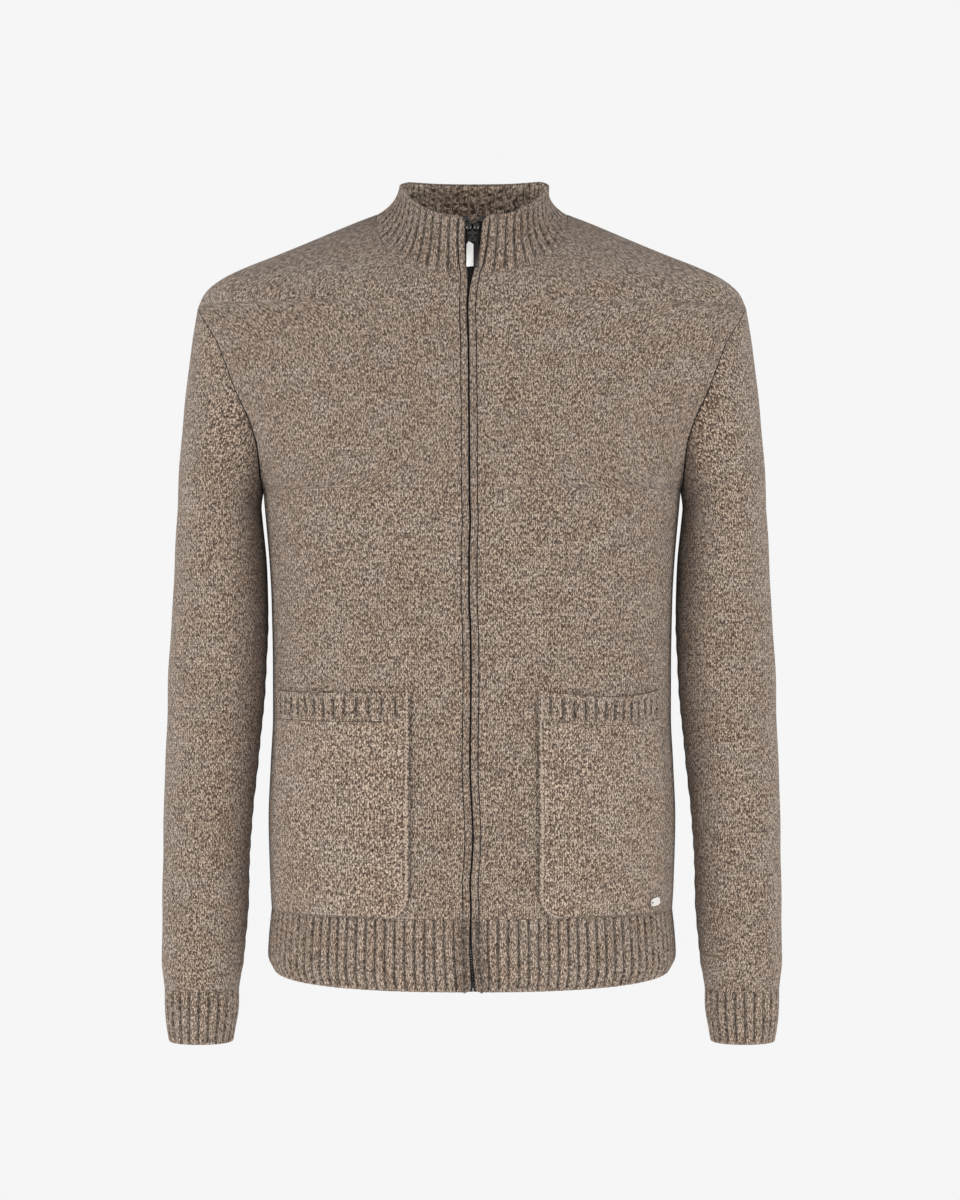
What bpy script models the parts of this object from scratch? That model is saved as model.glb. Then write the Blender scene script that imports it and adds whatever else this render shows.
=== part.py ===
"""Zip mock neck sweater: a full-zip knitted cardigan in its worn, hollow form.

Metres, +Z up. +X is the wearer's left, the front faces -Y. The origin is the middle of
the neck, at the height where the neck rests on the shoulders.
"""
import math
from collections import namedtuple

import bmesh
import bpy
from mathutils import Matrix, Vector

LEFT = 1
RIGHT = -1

# Cloth walls and seams
KNIT_WALL = 0.0022
RIB_WALL = 0.0031
RIB_GROOVE = 0.0012
RIB_CREST = (0.27, 0.73)
TAPE_WALL = 0.0010
SEAM_GAP = 0.0003
HALF_GAP = SEAM_GAP / 2
NORMAL_STEP_ANGLE = 0.004
NORMAL_STEP_Z = 0.0004

# Heights
NECK_POINT_Z = -0.0025
SHOULDER_TIP_Z = -0.0840
UNDERARM_Z = -0.2450
HEM_SEAM_Z = -0.6080
CUFF_SEAM_Z = -0.6760

# Neck
NECK_HALF_WIDTH = 0.0835
NECK_FRONT_DROP = 0.0585
NECK_BACK_DROP = 0.0225
NECK_SQUARENESS = 2.4
NECK_SEAM_STEP = 1.4 * SEAM_GAP
NECK_INSIDE = (0.0, -0.0100, 0.0200)
FRONT_NECK_STEPS = (13, 25, 37, 49, 60, 71, 80, 86, 89.3)
BACK_NECK_STEPS = (0, 20, 38, 54, 68, 79, 86, 89)

# Trunk: level sections
TRUNK_SQUARENESS = 2.4
TrunkSection = namedtuple("TrunkSection", "z half_width")
TRUNK_SIDES = (
    TrunkSection(-0.6080, 0.1748),
    TrunkSection(-0.5860, 0.1762),
    TrunkSection(-0.5300, 0.1774),
    TrunkSection(-0.4810, 0.1758),
    TrunkSection(-0.4390, 0.1737),
    TrunkSection(-0.3970, 0.1738),
    TrunkSection(-0.3420, 0.1750),
    TrunkSection(-0.3100, 0.1768),
    TrunkSection(-0.2610, 0.1808),
    TrunkSection(-0.2450, 0.1822),
)
SHOULDER_LINE = (
    TrunkSection(-0.0840, 0.2392),
    TrunkSection(-0.0735, 0.2345),
    TrunkSection(-0.0665, 0.2282),
    TrunkSection(-0.0595, 0.2182),
    TrunkSection(-0.0525, 0.2040),
    TrunkSection(-0.0385, 0.1700),
    TrunkSection(-0.0245, 0.1370),
    TrunkSection(-0.0105, 0.1040),
    TrunkSection(-0.0020, 0.0830),
)
TrunkDepth = namedtuple("TrunkDepth", "z front back")
TRUNK_DEPTHS = (
    TrunkDepth(-0.6080, 0.1210, 0.1150),
    TrunkDepth(-0.5500, 0.1210, 0.1150),
    TrunkDepth(-0.4500, 0.1180, 0.1120),
    TrunkDepth(-0.3500, 0.1190, 0.1140),
    TrunkDepth(-0.2600, 0.1210, 0.1180),
    TrunkDepth(-0.2000, 0.1180, 0.1170),
    TrunkDepth(-0.1500, 0.1100, 0.1120),
    TrunkDepth(-0.1100, 0.0990, 0.1020),
    TrunkDepth(-0.0840, 0.0890, 0.0920),
    TrunkDepth(-0.0610, 0.0770, 0.0820),
    TrunkDepth(-0.0385, 0.0570, 0.0690),
    TrunkDepth(-0.0245, 0.0420, 0.0600),
    TrunkDepth(-0.0105, 0.0260, 0.0470),
    TrunkDepth(-0.0020, 0.0120, 0.0340),
)
TRUNK_ROWS = 11
FRONT_COLUMNS = 8
BACK_COLUMNS = 16
BACK_SHOULDER_ROWS = 4
FRONT_SHOULDER_Z = -0.0720

# Armhole: its edge seen from the front, and how far it opens forwards and back
ArmholeEdge = namedtuple("ArmholeEdge", "z edge_x")
ARMHOLE_EDGE = (
    ArmholeEdge(-0.2450, 0.1822),
    ArmholeEdge(-0.2090, 0.1845),
    ArmholeEdge(-0.1840, 0.1915),
    ArmholeEdge(-0.1620, 0.2018),
    ArmholeEdge(-0.1340, 0.2125),
    ArmholeEdge(-0.1180, 0.2190),
    ArmholeEdge(-0.1070, 0.2255),
    ArmholeEdge(-0.0930, 0.2345),
    ArmholeEdge(-0.0840, 0.2392),
)
ARMHOLE_HALF_DEPTH = 0.0580
ARMHOLE_SQUARENESS = 2.2
ARMHOLE_STEPS = 12

# Hem rib: its profile from the seam down to the edge
HemProfile = namedtuple("HemProfile", "share half_width front back")
HEM_PROFILE = (
    HemProfile(0.00, 0.1748, 0.1210, 0.1150),
    HemProfile(0.45, 0.1772, 0.1222, 0.1165),
    HemProfile(0.75, 0.1780, 0.1226, 0.1172),
    HemProfile(1.00, 0.1722, 0.1208, 0.1150),
)
HEM_LEVELS = (0.0, 0.55, 0.85, 1.0)
HEM_FRONT_Z = -0.6695
HEM_SIDE_Z = -0.6600
HEM_BACK_Z = -0.6560
HEM_FOOT_CURVE = 0.8
HEM_FRONT_RIBS = 28
HEM_BACK_RIBS = 56
RIBS_PER_INNER_POINT = 2

# Sleeve: level sections from the armhole to the cuff
SleeveSection = namedtuple("SleeveSection", "z outer inner half_depth centre_y")
SLEEVE_SECTIONS = (
    SleeveSection(-0.7215, 0.2622, 0.2068, 0.0300, -0.0290),
    SleeveSection(-0.7120, 0.2632, 0.2060, 0.0310, -0.0285),
    SleeveSection(-0.6910, 0.2650, 0.2030, 0.0322, -0.0280),
    SleeveSection(-0.6760, 0.2662, 0.2020, 0.0335, -0.0270),
    SleeveSection(-0.6500, 0.2690, 0.1980, 0.0385, -0.0250),
    SleeveSection(-0.6100, 0.2692, 0.1950, 0.0420, -0.0225),
    SleeveSection(-0.5600, 0.2680, 0.1935, 0.0448, -0.0190),
    SleeveSection(-0.5020, 0.2675, 0.1880, 0.0475, -0.0150),
    SleeveSection(-0.4390, 0.2648, 0.1822, 0.0500, -0.0105),
    SleeveSection(-0.3970, 0.2640, 0.1790, 0.0522, -0.0070),
    SleeveSection(-0.3550, 0.2620, 0.1778, 0.0550, -0.0040),
    SleeveSection(-0.3100, 0.2600, 0.1802, 0.0585, -0.0015),
    SleeveSection(-0.2600, 0.2570, 0.1845, 0.0620, 0.0000),
)
SLEEVE_SQUARENESS = 2.15
SLEEVE_HEAD_Z = -0.2600
SLEEVE_HEAD_ROWS = 5
SLEEVE_HEAD_SPREAD = 0.15
SLEEVE_ROWS_Z = (-0.29, -0.32, -0.355, -0.395, -0.44, -0.485, -0.53, -0.58, -0.63, CUFF_SEAM_Z + HALF_GAP)
CUFF_ROWS_Z = (CUFF_SEAM_Z - HALF_GAP, -0.692, -0.712, -0.7215)
CUFF_RIBS = 24

# Collar: a ribbed band from the neck seam up to a tilted, open top
COLLAR_HALF_WIDTH = 0.0655
COLLAR_LEAN_X = 0.0022
COLLAR_FRONT_Y = -0.0740
COLLAR_BACK_Y = 0.0580
COLLAR_FRONT_Z = -0.0110
CollarRim = namedtuple("CollarRim", "y z")
COLLAR_RIM = (
    CollarRim(COLLAR_FRONT_Y, COLLAR_FRONT_Z),
    CollarRim(-0.0717, -0.0102),
    CollarRim(-0.0681, -0.0082),
    CollarRim(-0.0622, -0.0037),
    CollarRim(-0.0536, 0.0018),
    CollarRim(-0.0423, 0.0087),
    CollarRim(-0.0258, 0.0173),
    CollarRim(-0.0080, 0.0224),
    CollarRim(0.0098, 0.0262),
    CollarRim(0.0277, 0.0295),
    CollarRim(COLLAR_BACK_Y, 0.0310),
)
COLLAR_SQUARENESS = 2.2
COLLAR_LEVELS = (0.0, 0.2, 0.52, 1.0)
COLLAR_FLARE = 2.5
COLLAR_RIBS = 52

# Front edges along the zip
BAND_WIDTH = 0.0060
BAND_RISE = 0.0005
BAND_ROLL = 0.0012
BAND_GAP_SINK = 0.0006
BAND_SEAM_SINK = 0.0002
EDGE_ROW_STEP = 3
ZipGap = namedtuple("ZipGap", "z half_gap")
ZIP_GAPS = (
    ZipGap(-0.6695, 0.0018),
    ZipGap(-0.6080, 0.0010),
    ZipGap(-0.0840, 0.0010),
    ZipGap(-0.0720, 0.0012),
    ZipGap(-0.0600, 0.0022),
)
COLLAR_BASE_GAP = 0.0022
COLLAR_TOP_GAP = 0.0070
TAPE_DEPTH = 0.0040
TAPE_INNER_BELOW = 0.0008
TAPE_INNER_TOP = 0.0058
TAPE_OUTER = 0.0150

# Zip slider and its pull tab, in a frame that follows the front of the collar
SLIDER_TOP_Z = -0.0165
SLIDER_X = 0.0006
SLIDER_LENGTH = 0.0205
SLIDER_HALF_WIDTH = 0.0056
SLIDER_FOOT_HALF_WIDTH = 0.0038
SLIDER_SHOULDER_ACROSS = 0.0022
SLIDER_SHOULDER_DOWN = 0.0030
SLIDER_SHOULDER_STEPS = (-20, 20, 60, 100, 140)
SLIDER_NOTCH = 0.0016
SliderFoot = namedtuple("SliderFoot", "width_share length_share")
SLIDER_FEET = (SliderFoot(1.0, 0.62), SliderFoot(0.9, 0.951), SliderFoot(0.6, 1.0))
SLIDER_FRONT = (-0.0020, -0.0006)
SLIDER_BACK = (-0.0070, -0.0056)
POST_HALF_WIDTH = 0.0011
POST_TAPER = 0.6
POST_TOP = 0.0024
POST_FOOT = 0.0085
POST_BITE = 0.0002
BRIDGE_HALF_WIDTH = 0.0014
BRIDGE_HALF_LENGTH = 0.0034
BRIDGE_HEIGHT = 0.0042
BRIDGE_BAR = 0.0012
BRIDGE_BITE = 0.0004
BRIDGE_BEVEL_LONG = 0.0010
BRIDGE_BEVEL_HIGH = 0.0008
PULL_AXIS_DROP = 0.0118
PULL_AXIS_HEIGHT = 0.0015
PULL_PIN = 0.0010
PULL_EYE_LENGTH = 0.0052
PULL_EYE_HALF_WIDTH = 0.0034
PULL_ARM = 0.0012
PULL_LENGTH = 0.0275
PULL_HALF_WIDTH = 0.0052
PULL_RIDGE = 0.0021
PULL_RIDGE_X = 0.0008
PULL_EDGE = 0.0008
PULL_EYE_BITE = 0.0004
PullRing = namedtuple("PullRing", "drop half_width ridge")
PULL_RINGS = (
    PullRing(PULL_EYE_LENGTH, PULL_EYE_HALF_WIDTH + PULL_ARM, 0.0004),
    PullRing(PULL_EYE_LENGTH + 0.0030, PULL_HALF_WIDTH * 0.97, PULL_RIDGE * 0.8),
    PullRing(PULL_LENGTH - 0.0006, PULL_HALF_WIDTH, PULL_RIDGE),
    PullRing(PULL_LENGTH, PULL_HALF_WIDTH - 0.0005, PULL_RIDGE * 0.7),
)

# Patch pockets
PocketCut = namedtuple("PocketCut", "side inner_x outer_x mouth_z mouth_sag gape gape_at")
POCKETS = (
    PocketCut(RIGHT, 0.0518, 0.1665, -0.4170, 0.0010, 0.0022, 0.58),
    PocketCut(LEFT, 0.0560, 0.1610, -0.4160, 0.0055, 0.0010, 0.45),
)
POCKET_FOOT_Z = -0.6066
POCKET_LIFT = 0.0007
POCKET_RIB_HEIGHT = 0.0240
POCKET_RIBS = 14
POCKET_CORNER = 0.0180
POCKET_GROOVE = 0.7
POCKET_CORNER_STEPS = (90, 64, 42, 22, 0)
POCKET_ROWS = 6
MOUTH_GAPE_SPREAD = 0.22
PLATE_X = 0.1520
PLATE_Z = -0.5975
PLATE_HALF_WIDTH = 0.0048
PLATE_HALF_HEIGHT = 0.0031
PLATE_THICKNESS = 0.0008
PLATE_CORNER = 0.0007
PLATE_CLEARANCE = 0.0006
PLATE_TILT = math.radians(7)

Finish = namedtuple("Finish", "name colour roughness metallic")
KNIT = Finish("taupe_melange_knit", (0.26, 0.20, 0.155), 0.95, 0.0)
RIB_KNIT = Finish("taupe_melange_rib", (0.24, 0.185, 0.142), 0.95, 0.0)
TAPE = Finish("black_zip_tape", (0.018, 0.016, 0.016), 0.85, 0.0)
BLACK_METAL = Finish("black_nickel", (0.035, 0.032, 0.032), 0.3, 1.0)
BRIGHT_METAL = Finish("polished_nickel", (0.72, 0.70, 0.67), 0.22, 1.0)


# ---------------------------------------------------------------- small mathematics


def signed_power(value, exponent):
    return math.copysign(abs(value) ** exponent, value)


def column(table, key, at):
    """Smooth, never overshooting value of one named column of a table, by its first column."""
    rows = sorted(table, key=lambda row: row[0])
    xs = [row[0] for row in rows]
    ys = [getattr(row, key) for row in rows]
    at = min(max(at, xs[0]), xs[-1])
    slopes = [(ys[i + 1] - ys[i]) / (xs[i + 1] - xs[i]) for i in range(len(xs) - 1)]
    tangents = [slopes[0]]
    for before, after in zip(slopes, slopes[1:]):
        same_way = before * after > 0
        tangents.append(2 * before * after / (before + after) if same_way else 0.0)
    tangents.append(slopes[-1])
    i = max(k for k in range(len(xs) - 1) if xs[k] <= at)
    width = xs[i + 1] - xs[i]
    t = (at - xs[i]) / width
    return (ys[i] * (1 + 2 * t) * (1 - t) ** 2 + tangents[i] * width * t * (1 - t) ** 2
            + ys[i + 1] * t * t * (3 - 2 * t) + tangents[i + 1] * width * t * t * (t - 1))


def straight(table, key, at):
    """Straight-line value of one named column of a table, by its first column."""
    rows = sorted(table, key=lambda row: row[0])
    if at <= rows[0][0]:
        return getattr(rows[0], key)
    for low, high in zip(rows, rows[1:]):
        if at <= high[0]:
            t = (at - low[0]) / (high[0] - low[0])
            return getattr(low, key) * (1 - t) + getattr(high, key) * t
    return getattr(rows[-1], key)


def mix(a, b, t):
    return a * (1 - t) + b * t


def normal_of(surface, u, v, step_u, step_v):
    across = surface(u + step_u, v) - surface(u - step_u, v)
    up = surface(u, v + step_v) - surface(u, v - step_v)
    return across.cross(up).normalized()


def walk(points, shares):
    """Points at given shares of a polyline's length."""
    lengths = [0.0]
    for a, b in zip(points, points[1:]):
        lengths.append(lengths[-1] + (b - a).length)
    found = []
    segment = 0
    for share in shares:
        goal = share * lengths[-1]
        while segment < len(points) - 2 and lengths[segment + 1] < goal:
            segment += 1
        t = (goal - lengths[segment]) / (lengths[segment + 1] - lengths[segment])
        found.append(points[segment].lerp(points[segment + 1], t))
    return found


def mirrored(point, side):
    return Vector((point.x * side, point.y, point.z))


# ---------------------------------------------------------------- meshes


def material_of(finish):
    material = bpy.data.materials.new(finish.name)
    material.use_nodes = True
    shader = material.node_tree.nodes["Principled BSDF"]
    shader.inputs["Base Color"].default_value = (*finish.colour, 1.0)
    shader.inputs["Roughness"].default_value = finish.roughness
    shader.inputs["Metallic"].default_value = finish.metallic
    return material


def make_object(name, points, faces, finish):
    mesh = bpy.data.meshes.new(name)
    mesh.from_pydata([tuple(point) for point in points], [], faces)
    shape = bmesh.new()
    shape.from_mesh(mesh)
    bmesh.ops.recalc_face_normals(shape, faces=shape.faces)
    shape.to_mesh(mesh)
    shape.free()
    mesh.shade_smooth()
    mesh.set_sharp_from_angle(angle=math.radians(40))
    mesh.materials.append(material_of(finish))
    thing = bpy.data.objects.new(name, mesh)
    bpy.context.scene.collection.objects.link(thing)
    return thing


def plain_wall(name, patches, finish):
    """A closed wall from patches of (outer, inner) points that share their edge points."""
    index = {}
    pairs = []
    faces = []
    edges = set()
    for grid in patches:
        ids = []
        for row in grid:
            ids.append([])
            for pair in row:
                key = tuple(round(value, 7) for value in pair[0])
                if key not in index:
                    index[key] = len(pairs)
                    pairs.append(pair)
                ids[-1].append(index[key])
        for low, high in zip(ids, ids[1:]):
            for c in range(len(low) - 1):
                face = [low[c], low[c + 1], high[c + 1], high[c]]
                faces.append(face)
                edges.update(zip(face, face[1:] + face[:1]))
    count = len(pairs)
    inner_faces = [[i + count for i in reversed(face)] for face in faces]
    rims = [[b, a, a + count, b + count] for a, b in edges if (b, a) not in edges]
    points = [pair[0] for pair in pairs] + [pair[1] for pair in pairs]
    return make_object(name, points, faces + inner_faces + sorted(rims), finish)


def rim_faces(outer, inner):
    """Triangles between two lines of points that run side by side."""
    faces = []
    i = 0
    j = 0
    last_i = len(outer) - 1
    last_j = len(inner) - 1
    while i < last_i or j < last_j:
        if j == last_j or (i < last_i and (i + 1) / last_i <= (j + 1) / last_j):
            faces.append([outer[i], outer[i + 1], inner[j]])
            i += 1
        else:
            faces.append([outer[i], inner[j + 1], inner[j]])
            j += 1
    return faces


def ribbed_wall(name, outer, inner, closed, finish):
    """A closed wall whose ribbed outside has more points in a row than its plain inside."""
    points = []
    ids = []
    for grid in (outer, inner):
        ids.append([])
        for row in grid:
            line = list(range(len(points), len(points) + len(row)))
            points.extend(row)
            ids[-1].append(line + line[:1] if closed else line)
    faces = []
    for grid in ids:
        for low, high in zip(grid, grid[1:]):
            for c in range(len(low) - 1):
                faces.append([low[c], low[c + 1], high[c + 1], high[c]])
    for end in (0, -1):
        faces.extend(rim_faces(ids[0][end], ids[1][end]))
    if not closed:
        outside, inside = ids
        for low in range(len(outer) - 1):
            for end in (0, -1):
                faces.append([outside[low][end], outside[low + 1][end],
                              inside[low + 1][end], inside[low][end]])
    return make_object(name, points, faces, finish)


def rib_shares(ribs, closed):
    """Shares along a row, and how deep each lies: a groove, then the two edges of a rib."""
    shares = []
    for rib in range(ribs):
        shares.append((rib / ribs, RIB_GROOVE))
        shares.extend(((rib + crest) / ribs, 0.0) for crest in RIB_CREST)
    if not closed:
        shares.append((1.0, RIB_GROOVE))
    return shares


def inner_shares(ribs, closed):
    count = max(1, ribs // RIBS_PER_INNER_POINT)
    return [i / count for i in range(count + (0 if closed else 1))]


# ---------------------------------------------------------------- trunk


def armhole_half_depth(z):
    middle = (SHOULDER_TIP_Z + UNDERARM_Z) / 2
    reach = (SHOULDER_TIP_Z - UNDERARM_Z) / 2
    rise = min(1.0, abs((z - middle) / reach))
    return ARMHOLE_HALF_DEPTH * (1 - rise ** ARMHOLE_SQUARENESS) ** (1 / ARMHOLE_SQUARENESS)


def half_width(z):
    """Half width of a level section, run on past the armhole's edge where it has one."""
    if z >= SHOULDER_TIP_Z:
        return column(SHOULDER_LINE, "half_width", z)
    if z <= UNDERARM_Z:
        return column(TRUNK_SIDES, "half_width", z)
    share = armhole_half_depth(z) / column(TRUNK_DEPTHS, "front", z)
    reach = (1 - share ** TRUNK_SQUARENESS) ** (1 / TRUNK_SQUARENESS)
    return column(ARMHOLE_EDGE, "edge_x", z) / reach


def trunk(angle, z):
    """Point of the trunk: the angle runs from centre front by the left side to centre back."""
    power = 2 / TRUNK_SQUARENESS
    depth = column(TRUNK_DEPTHS, "front" if math.cos(angle) > 0 else "back", z)
    return Vector((half_width(z) * signed_power(math.sin(angle), power),
                   -depth * signed_power(math.cos(angle), power), z))


def trunk_normal(angle, z):
    return normal_of(trunk, angle, z, NORMAL_STEP_ANGLE, NORMAL_STEP_Z)


def angle_at(x, z):
    """Angle, in front, at which a level section is x wide."""
    return math.asin(min(1.0, (x / half_width(z)) ** (TRUNK_SQUARENESS / 2)))


def wall_pair(angle, z):
    point = trunk(angle, z)
    normal = trunk_normal(angle, z)
    return [point, point - normal * KNIT_WALL]


def armhole_rows():
    """Heights of the armhole's points, from the underarm up to the shoulder tip."""
    middle = (SHOULDER_TIP_Z + UNDERARM_Z) / 2
    reach = (SHOULDER_TIP_Z - UNDERARM_Z) / 2
    turns = [math.pi * (1 - k / ARMHOLE_STEPS) for k in range(ARMHOLE_STEPS + 1)]
    return [middle + reach * signed_power(math.cos(turn), 2 / ARMHOLE_SQUARENESS)
            for turn in turns]


def side_rows():
    foot = HEM_SEAM_Z + HALF_GAP
    return [mix(foot, UNDERARM_Z, k / TRUNK_ROWS) for k in range(TRUNK_ROWS)]


def side_angle(z):
    """Angle of a front's outer edge: the side seam, the armhole or the shoulder seam."""
    if UNDERARM_Z < z < SHOULDER_TIP_Z:
        return angle_at(column(ARMHOLE_EDGE, "edge_x", z), z)
    return math.pi / 2


def neck_place(degrees, drop):
    """Width and height of the neck seam, from the middle, 0, to the neck point, 90."""
    turn = math.radians(degrees)
    power = 2 / NECK_SQUARENESS
    return (NECK_HALF_WIDTH * math.sin(turn) ** power,
            NECK_POINT_Z - drop * math.cos(turn) ** power)


def front_neck_start():
    """Where the neck seam meets the front edge band, in degrees."""
    edge = COLLAR_BASE_GAP + BAND_WIDTH + SEAM_GAP
    return math.degrees(math.asin((edge / NECK_HALF_WIDTH) ** (NECK_SQUARENESS / 2)))


def front_neck_places():
    return [neck_place(step, NECK_FRONT_DROP) for step in (front_neck_start(), *FRONT_NECK_STEPS)]


def front_rows():
    """Heights of a front's rows, each with the angles of its two edges."""
    rows = []
    for z in side_rows() + armhole_rows() + [FRONT_SHOULDER_Z]:
        edge = straight(ZIP_GAPS, "half_gap", z) + BAND_WIDTH + SEAM_GAP
        rows.append((z, angle_at(edge, z), side_angle(z)))
    for x, z in front_neck_places():
        rows.append((z, angle_at(x, z), side_angle(z)))
    return rows


def front_grid():
    grid = []
    for z, start, end in front_rows():
        row = [wall_pair(mix(start, end, c / FRONT_COLUMNS), z) for c in range(FRONT_COLUMNS + 1)]
        if end == math.pi / 2:
            for point in row[-1]:
                point.y = -HALF_GAP
        grid.append(row)
    return grid


def build_front(name, side):
    grid = [[[mirrored(point, side) for point in pair] for pair in row] for row in front_grid()]
    return plain_wall(name, [grid], KNIT)


def back_row(z, start, end, columns):
    row = [wall_pair(mix(start, end, c / columns), z) for c in range(columns + 1)]
    for place, angle in ((0, start), (-1, end)):
        if abs(math.cos(angle)) < 1e-9:
            for point in row[place]:
                point.y = HALF_GAP
    return row


def build_back(name):
    shoulder_top = neck_place(0, NECK_BACK_DROP)[1]
    shoulder = [mix(SHOULDER_TIP_Z, shoulder_top, (k + 1) / BACK_SHOULDER_ROWS)
                for k in range(BACK_SHOULDER_ROWS)]
    main = []
    for z in side_rows() + armhole_rows() + shoulder:
        edge = math.pi - side_angle(z)
        main.append(back_row(z, edge, 2 * math.pi - edge, BACK_COLUMNS))
    half = BACK_COLUMNS // 2
    left_wedge = [main[-1][:half + 1]]
    for step in BACK_NECK_STEPS[1:]:
        x, z = neck_place(step, NECK_BACK_DROP)
        left_wedge.append(back_row(z, math.pi / 2, math.pi - angle_at(x, z), half))
    right_wedge = [[[mirrored(point, RIGHT) for point in pair] for pair in reversed(row)]
                   for row in left_wedge]
    right_wedge[0] = main[-1][half:]
    return plain_wall(name, [main, left_wedge, right_wedge], KNIT)


# ---------------------------------------------------------------- sleeves and cuffs


def sleeve_section(turn, z):
    """Point of a level sleeve section: 0 is outside, a quarter turn is in front."""
    outer = column(SLEEVE_SECTIONS, "outer", z)
    inner = column(SLEEVE_SECTIONS, "inner", z)
    power = 2 / SLEEVE_SQUARENESS
    return Vector(((outer + inner) / 2 + (outer - inner) / 2 * signed_power(math.cos(turn), power),
                   column(SLEEVE_SECTIONS, "centre_y", z)
                   - column(SLEEVE_SECTIONS, "half_depth", z)
                   * signed_power(math.sin(turn), power), z))


def armhole_point(turn):
    """Point of the armhole seam, on the trunk: 0 is the shoulder tip, half a turn the underarm."""
    middle = (SHOULDER_TIP_Z + UNDERARM_Z) / 2
    reach = (SHOULDER_TIP_Z - UNDERARM_Z) / 2
    z = middle + reach * signed_power(math.cos(turn), 2 / ARMHOLE_SQUARENESS)
    angle = side_angle(z) if 1e-9 < turn < math.pi - 1e-9 or turn > math.pi + 1e-9 else math.pi / 2
    return trunk(angle if turn <= math.pi else math.pi - angle, z)


def sleeve_head(turn, share):
    """Point between the armhole seam, share 0, and the first full section, share 1."""
    down = math.cos(turn)
    step = Vector((SEAM_GAP * (1.5 - down / 2), 0, -SEAM_GAP * 1.3 * max(0.0, down)))
    start = armhole_point(turn) + step
    end = sleeve_section(turn, SLEEVE_HEAD_Z)
    reach = (end - start).length / 3
    spread = SLEEVE_HEAD_SPREAD * (1 + math.sin(turn) ** 2)
    lead = start + Vector((spread, 0, -1)).normalized() * reach
    tail = end + Vector((0, 0, reach))
    s = 1 - share
    return start * s ** 3 + lead * (3 * s * s * share) + tail * (3 * s * share ** 2) + end * share ** 3


def offset_ring_pairs(rows, thickness):
    """(outer, inner) pairs of a tube, from rings of points that run downwards."""
    pairs = []
    count = len(rows[0])
    for r, ring in enumerate(rows):
        above = rows[max(r - 1, 0)]
        below = rows[min(r + 1, len(rows) - 1)]
        line = []
        for c, point in enumerate(ring):
            across = ring[(c + 1) % count] - ring[c - 1]
            normal = across.cross(above[c] - below[c]).normalized()
            line.append([point, point + normal * thickness])
        pairs.append(line)
    return pairs


def sleeve_rings():
    turns = [2 * math.pi * k / (2 * ARMHOLE_STEPS) for k in range(2 * ARMHOLE_STEPS)]
    rings = [[sleeve_head(turn, k / (SLEEVE_HEAD_ROWS + 1)) for turn in turns]
             for k in range(SLEEVE_HEAD_ROWS + 1)]
    for z in (SLEEVE_HEAD_Z, *SLEEVE_ROWS_Z):
        rings.append([sleeve_section(turn, z) for turn in turns])
    return rings


def build_sleeve(name, side):
    pairs = offset_ring_pairs(sleeve_rings(), KNIT_WALL)
    grid = [[[mirrored(point, side) for point in pair] for pair in row + row[:1]] for row in pairs]
    return plain_wall(name, [grid], KNIT)


def build_cuff(name, side):
    fine = [2 * math.pi * k / 360 for k in range(361)]
    outer = []
    inner = []
    for z in CUFF_ROWS_Z:
        ring = [sleeve_section(turn, z) for turn in fine]
        centre = sum(ring[:-1], Vector()) / (len(ring) - 1)
        shares = rib_shares(CUFF_RIBS, True)
        line = []
        for point, (_, depth) in zip(walk(ring, [share for share, _ in shares]), shares):
            inwards = (centre - point).normalized()
            line.append(mirrored(point + inwards * depth, side))
        outer.append(line)
        line = []
        for point in walk(ring, inner_shares(CUFF_RIBS, True)):
            inwards = (centre - point).normalized()
            line.append(mirrored(point + inwards * RIB_WALL, side))
        inner.append(line)
    return ribbed_wall(name, outer, inner, True, RIB_KNIT)


# ---------------------------------------------------------------- hem


def hem_foot_z(angle):
    """Height of the hem's edge: low in front, a little higher at the sides and back."""
    forwards = math.cos(angle)
    if forwards > 0:
        return mix(HEM_SIDE_Z, HEM_FRONT_Z, forwards ** HEM_FOOT_CURVE)
    return mix(HEM_SIDE_Z, HEM_BACK_Z, -forwards)


def hem(angle, share):
    """Point of the hem rib, from its seam, share 0, to its edge, share 1."""
    power = 2 / TRUNK_SQUARENESS
    depth = column(HEM_PROFILE, "front" if math.cos(angle) > 0 else "back", share)
    return Vector((column(HEM_PROFILE, "half_width", share) * signed_power(math.sin(angle), power),
                   -depth * signed_power(math.cos(angle), power),
                   mix(HEM_SEAM_Z - HALF_GAP, hem_foot_z(angle), share)))


def build_hem(name, start, end, ribs, side):
    """A stretch of the hem rib between two angles, its ribs evenly spaced."""
    fine = [mix(start, end, k / 240) for k in range(241)]
    outer = []
    inner = []
    front = side != 0
    for share in HEM_LEVELS:
        line = [hem(angle, share) for angle in fine]
        if front:
            gap = straight(ZIP_GAPS, "half_gap", line[0].z)
            line[0].x = gap + BAND_WIDTH + SEAM_GAP
        seams = (-1,) if front else (0, -1)
        for place in seams:
            line[place].y = -HALF_GAP if front else HALF_GAP
        shares = rib_shares(ribs, False)
        row = []
        for point, (_, depth) in zip(walk(line, [s for s, _ in shares]), shares):
            row.append(point + hem_inwards(point) * depth)
        outer.append(row)
        inner.append([point + hem_inwards(point) * RIB_WALL
                      for point in walk(line, inner_shares(ribs, False))])
        for row in (outer[-1], inner[-1]):
            for place in seams:
                row[place].y = -HALF_GAP if front else HALF_GAP
            if front:
                row[0].x = line[0].x
    if front:
        outer, inner = [[[mirrored(p, side) for p in row] for row in grid] for grid in (outer, inner)]
    return ribbed_wall(name, outer, inner, False, RIB_KNIT)


def hem_inwards(point):
    """Level direction into the body at a point of the hem."""
    power = TRUNK_SQUARENESS - 1
    width = column(HEM_PROFILE, "half_width", 0.5)
    depth = column(HEM_PROFILE, "front", 0.5)
    return -Vector((signed_power(point.x / width, power) / width,
                    signed_power(point.y / depth, power) / depth, 0)).normalized()


# ---------------------------------------------------------------- collar and front edges


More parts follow.
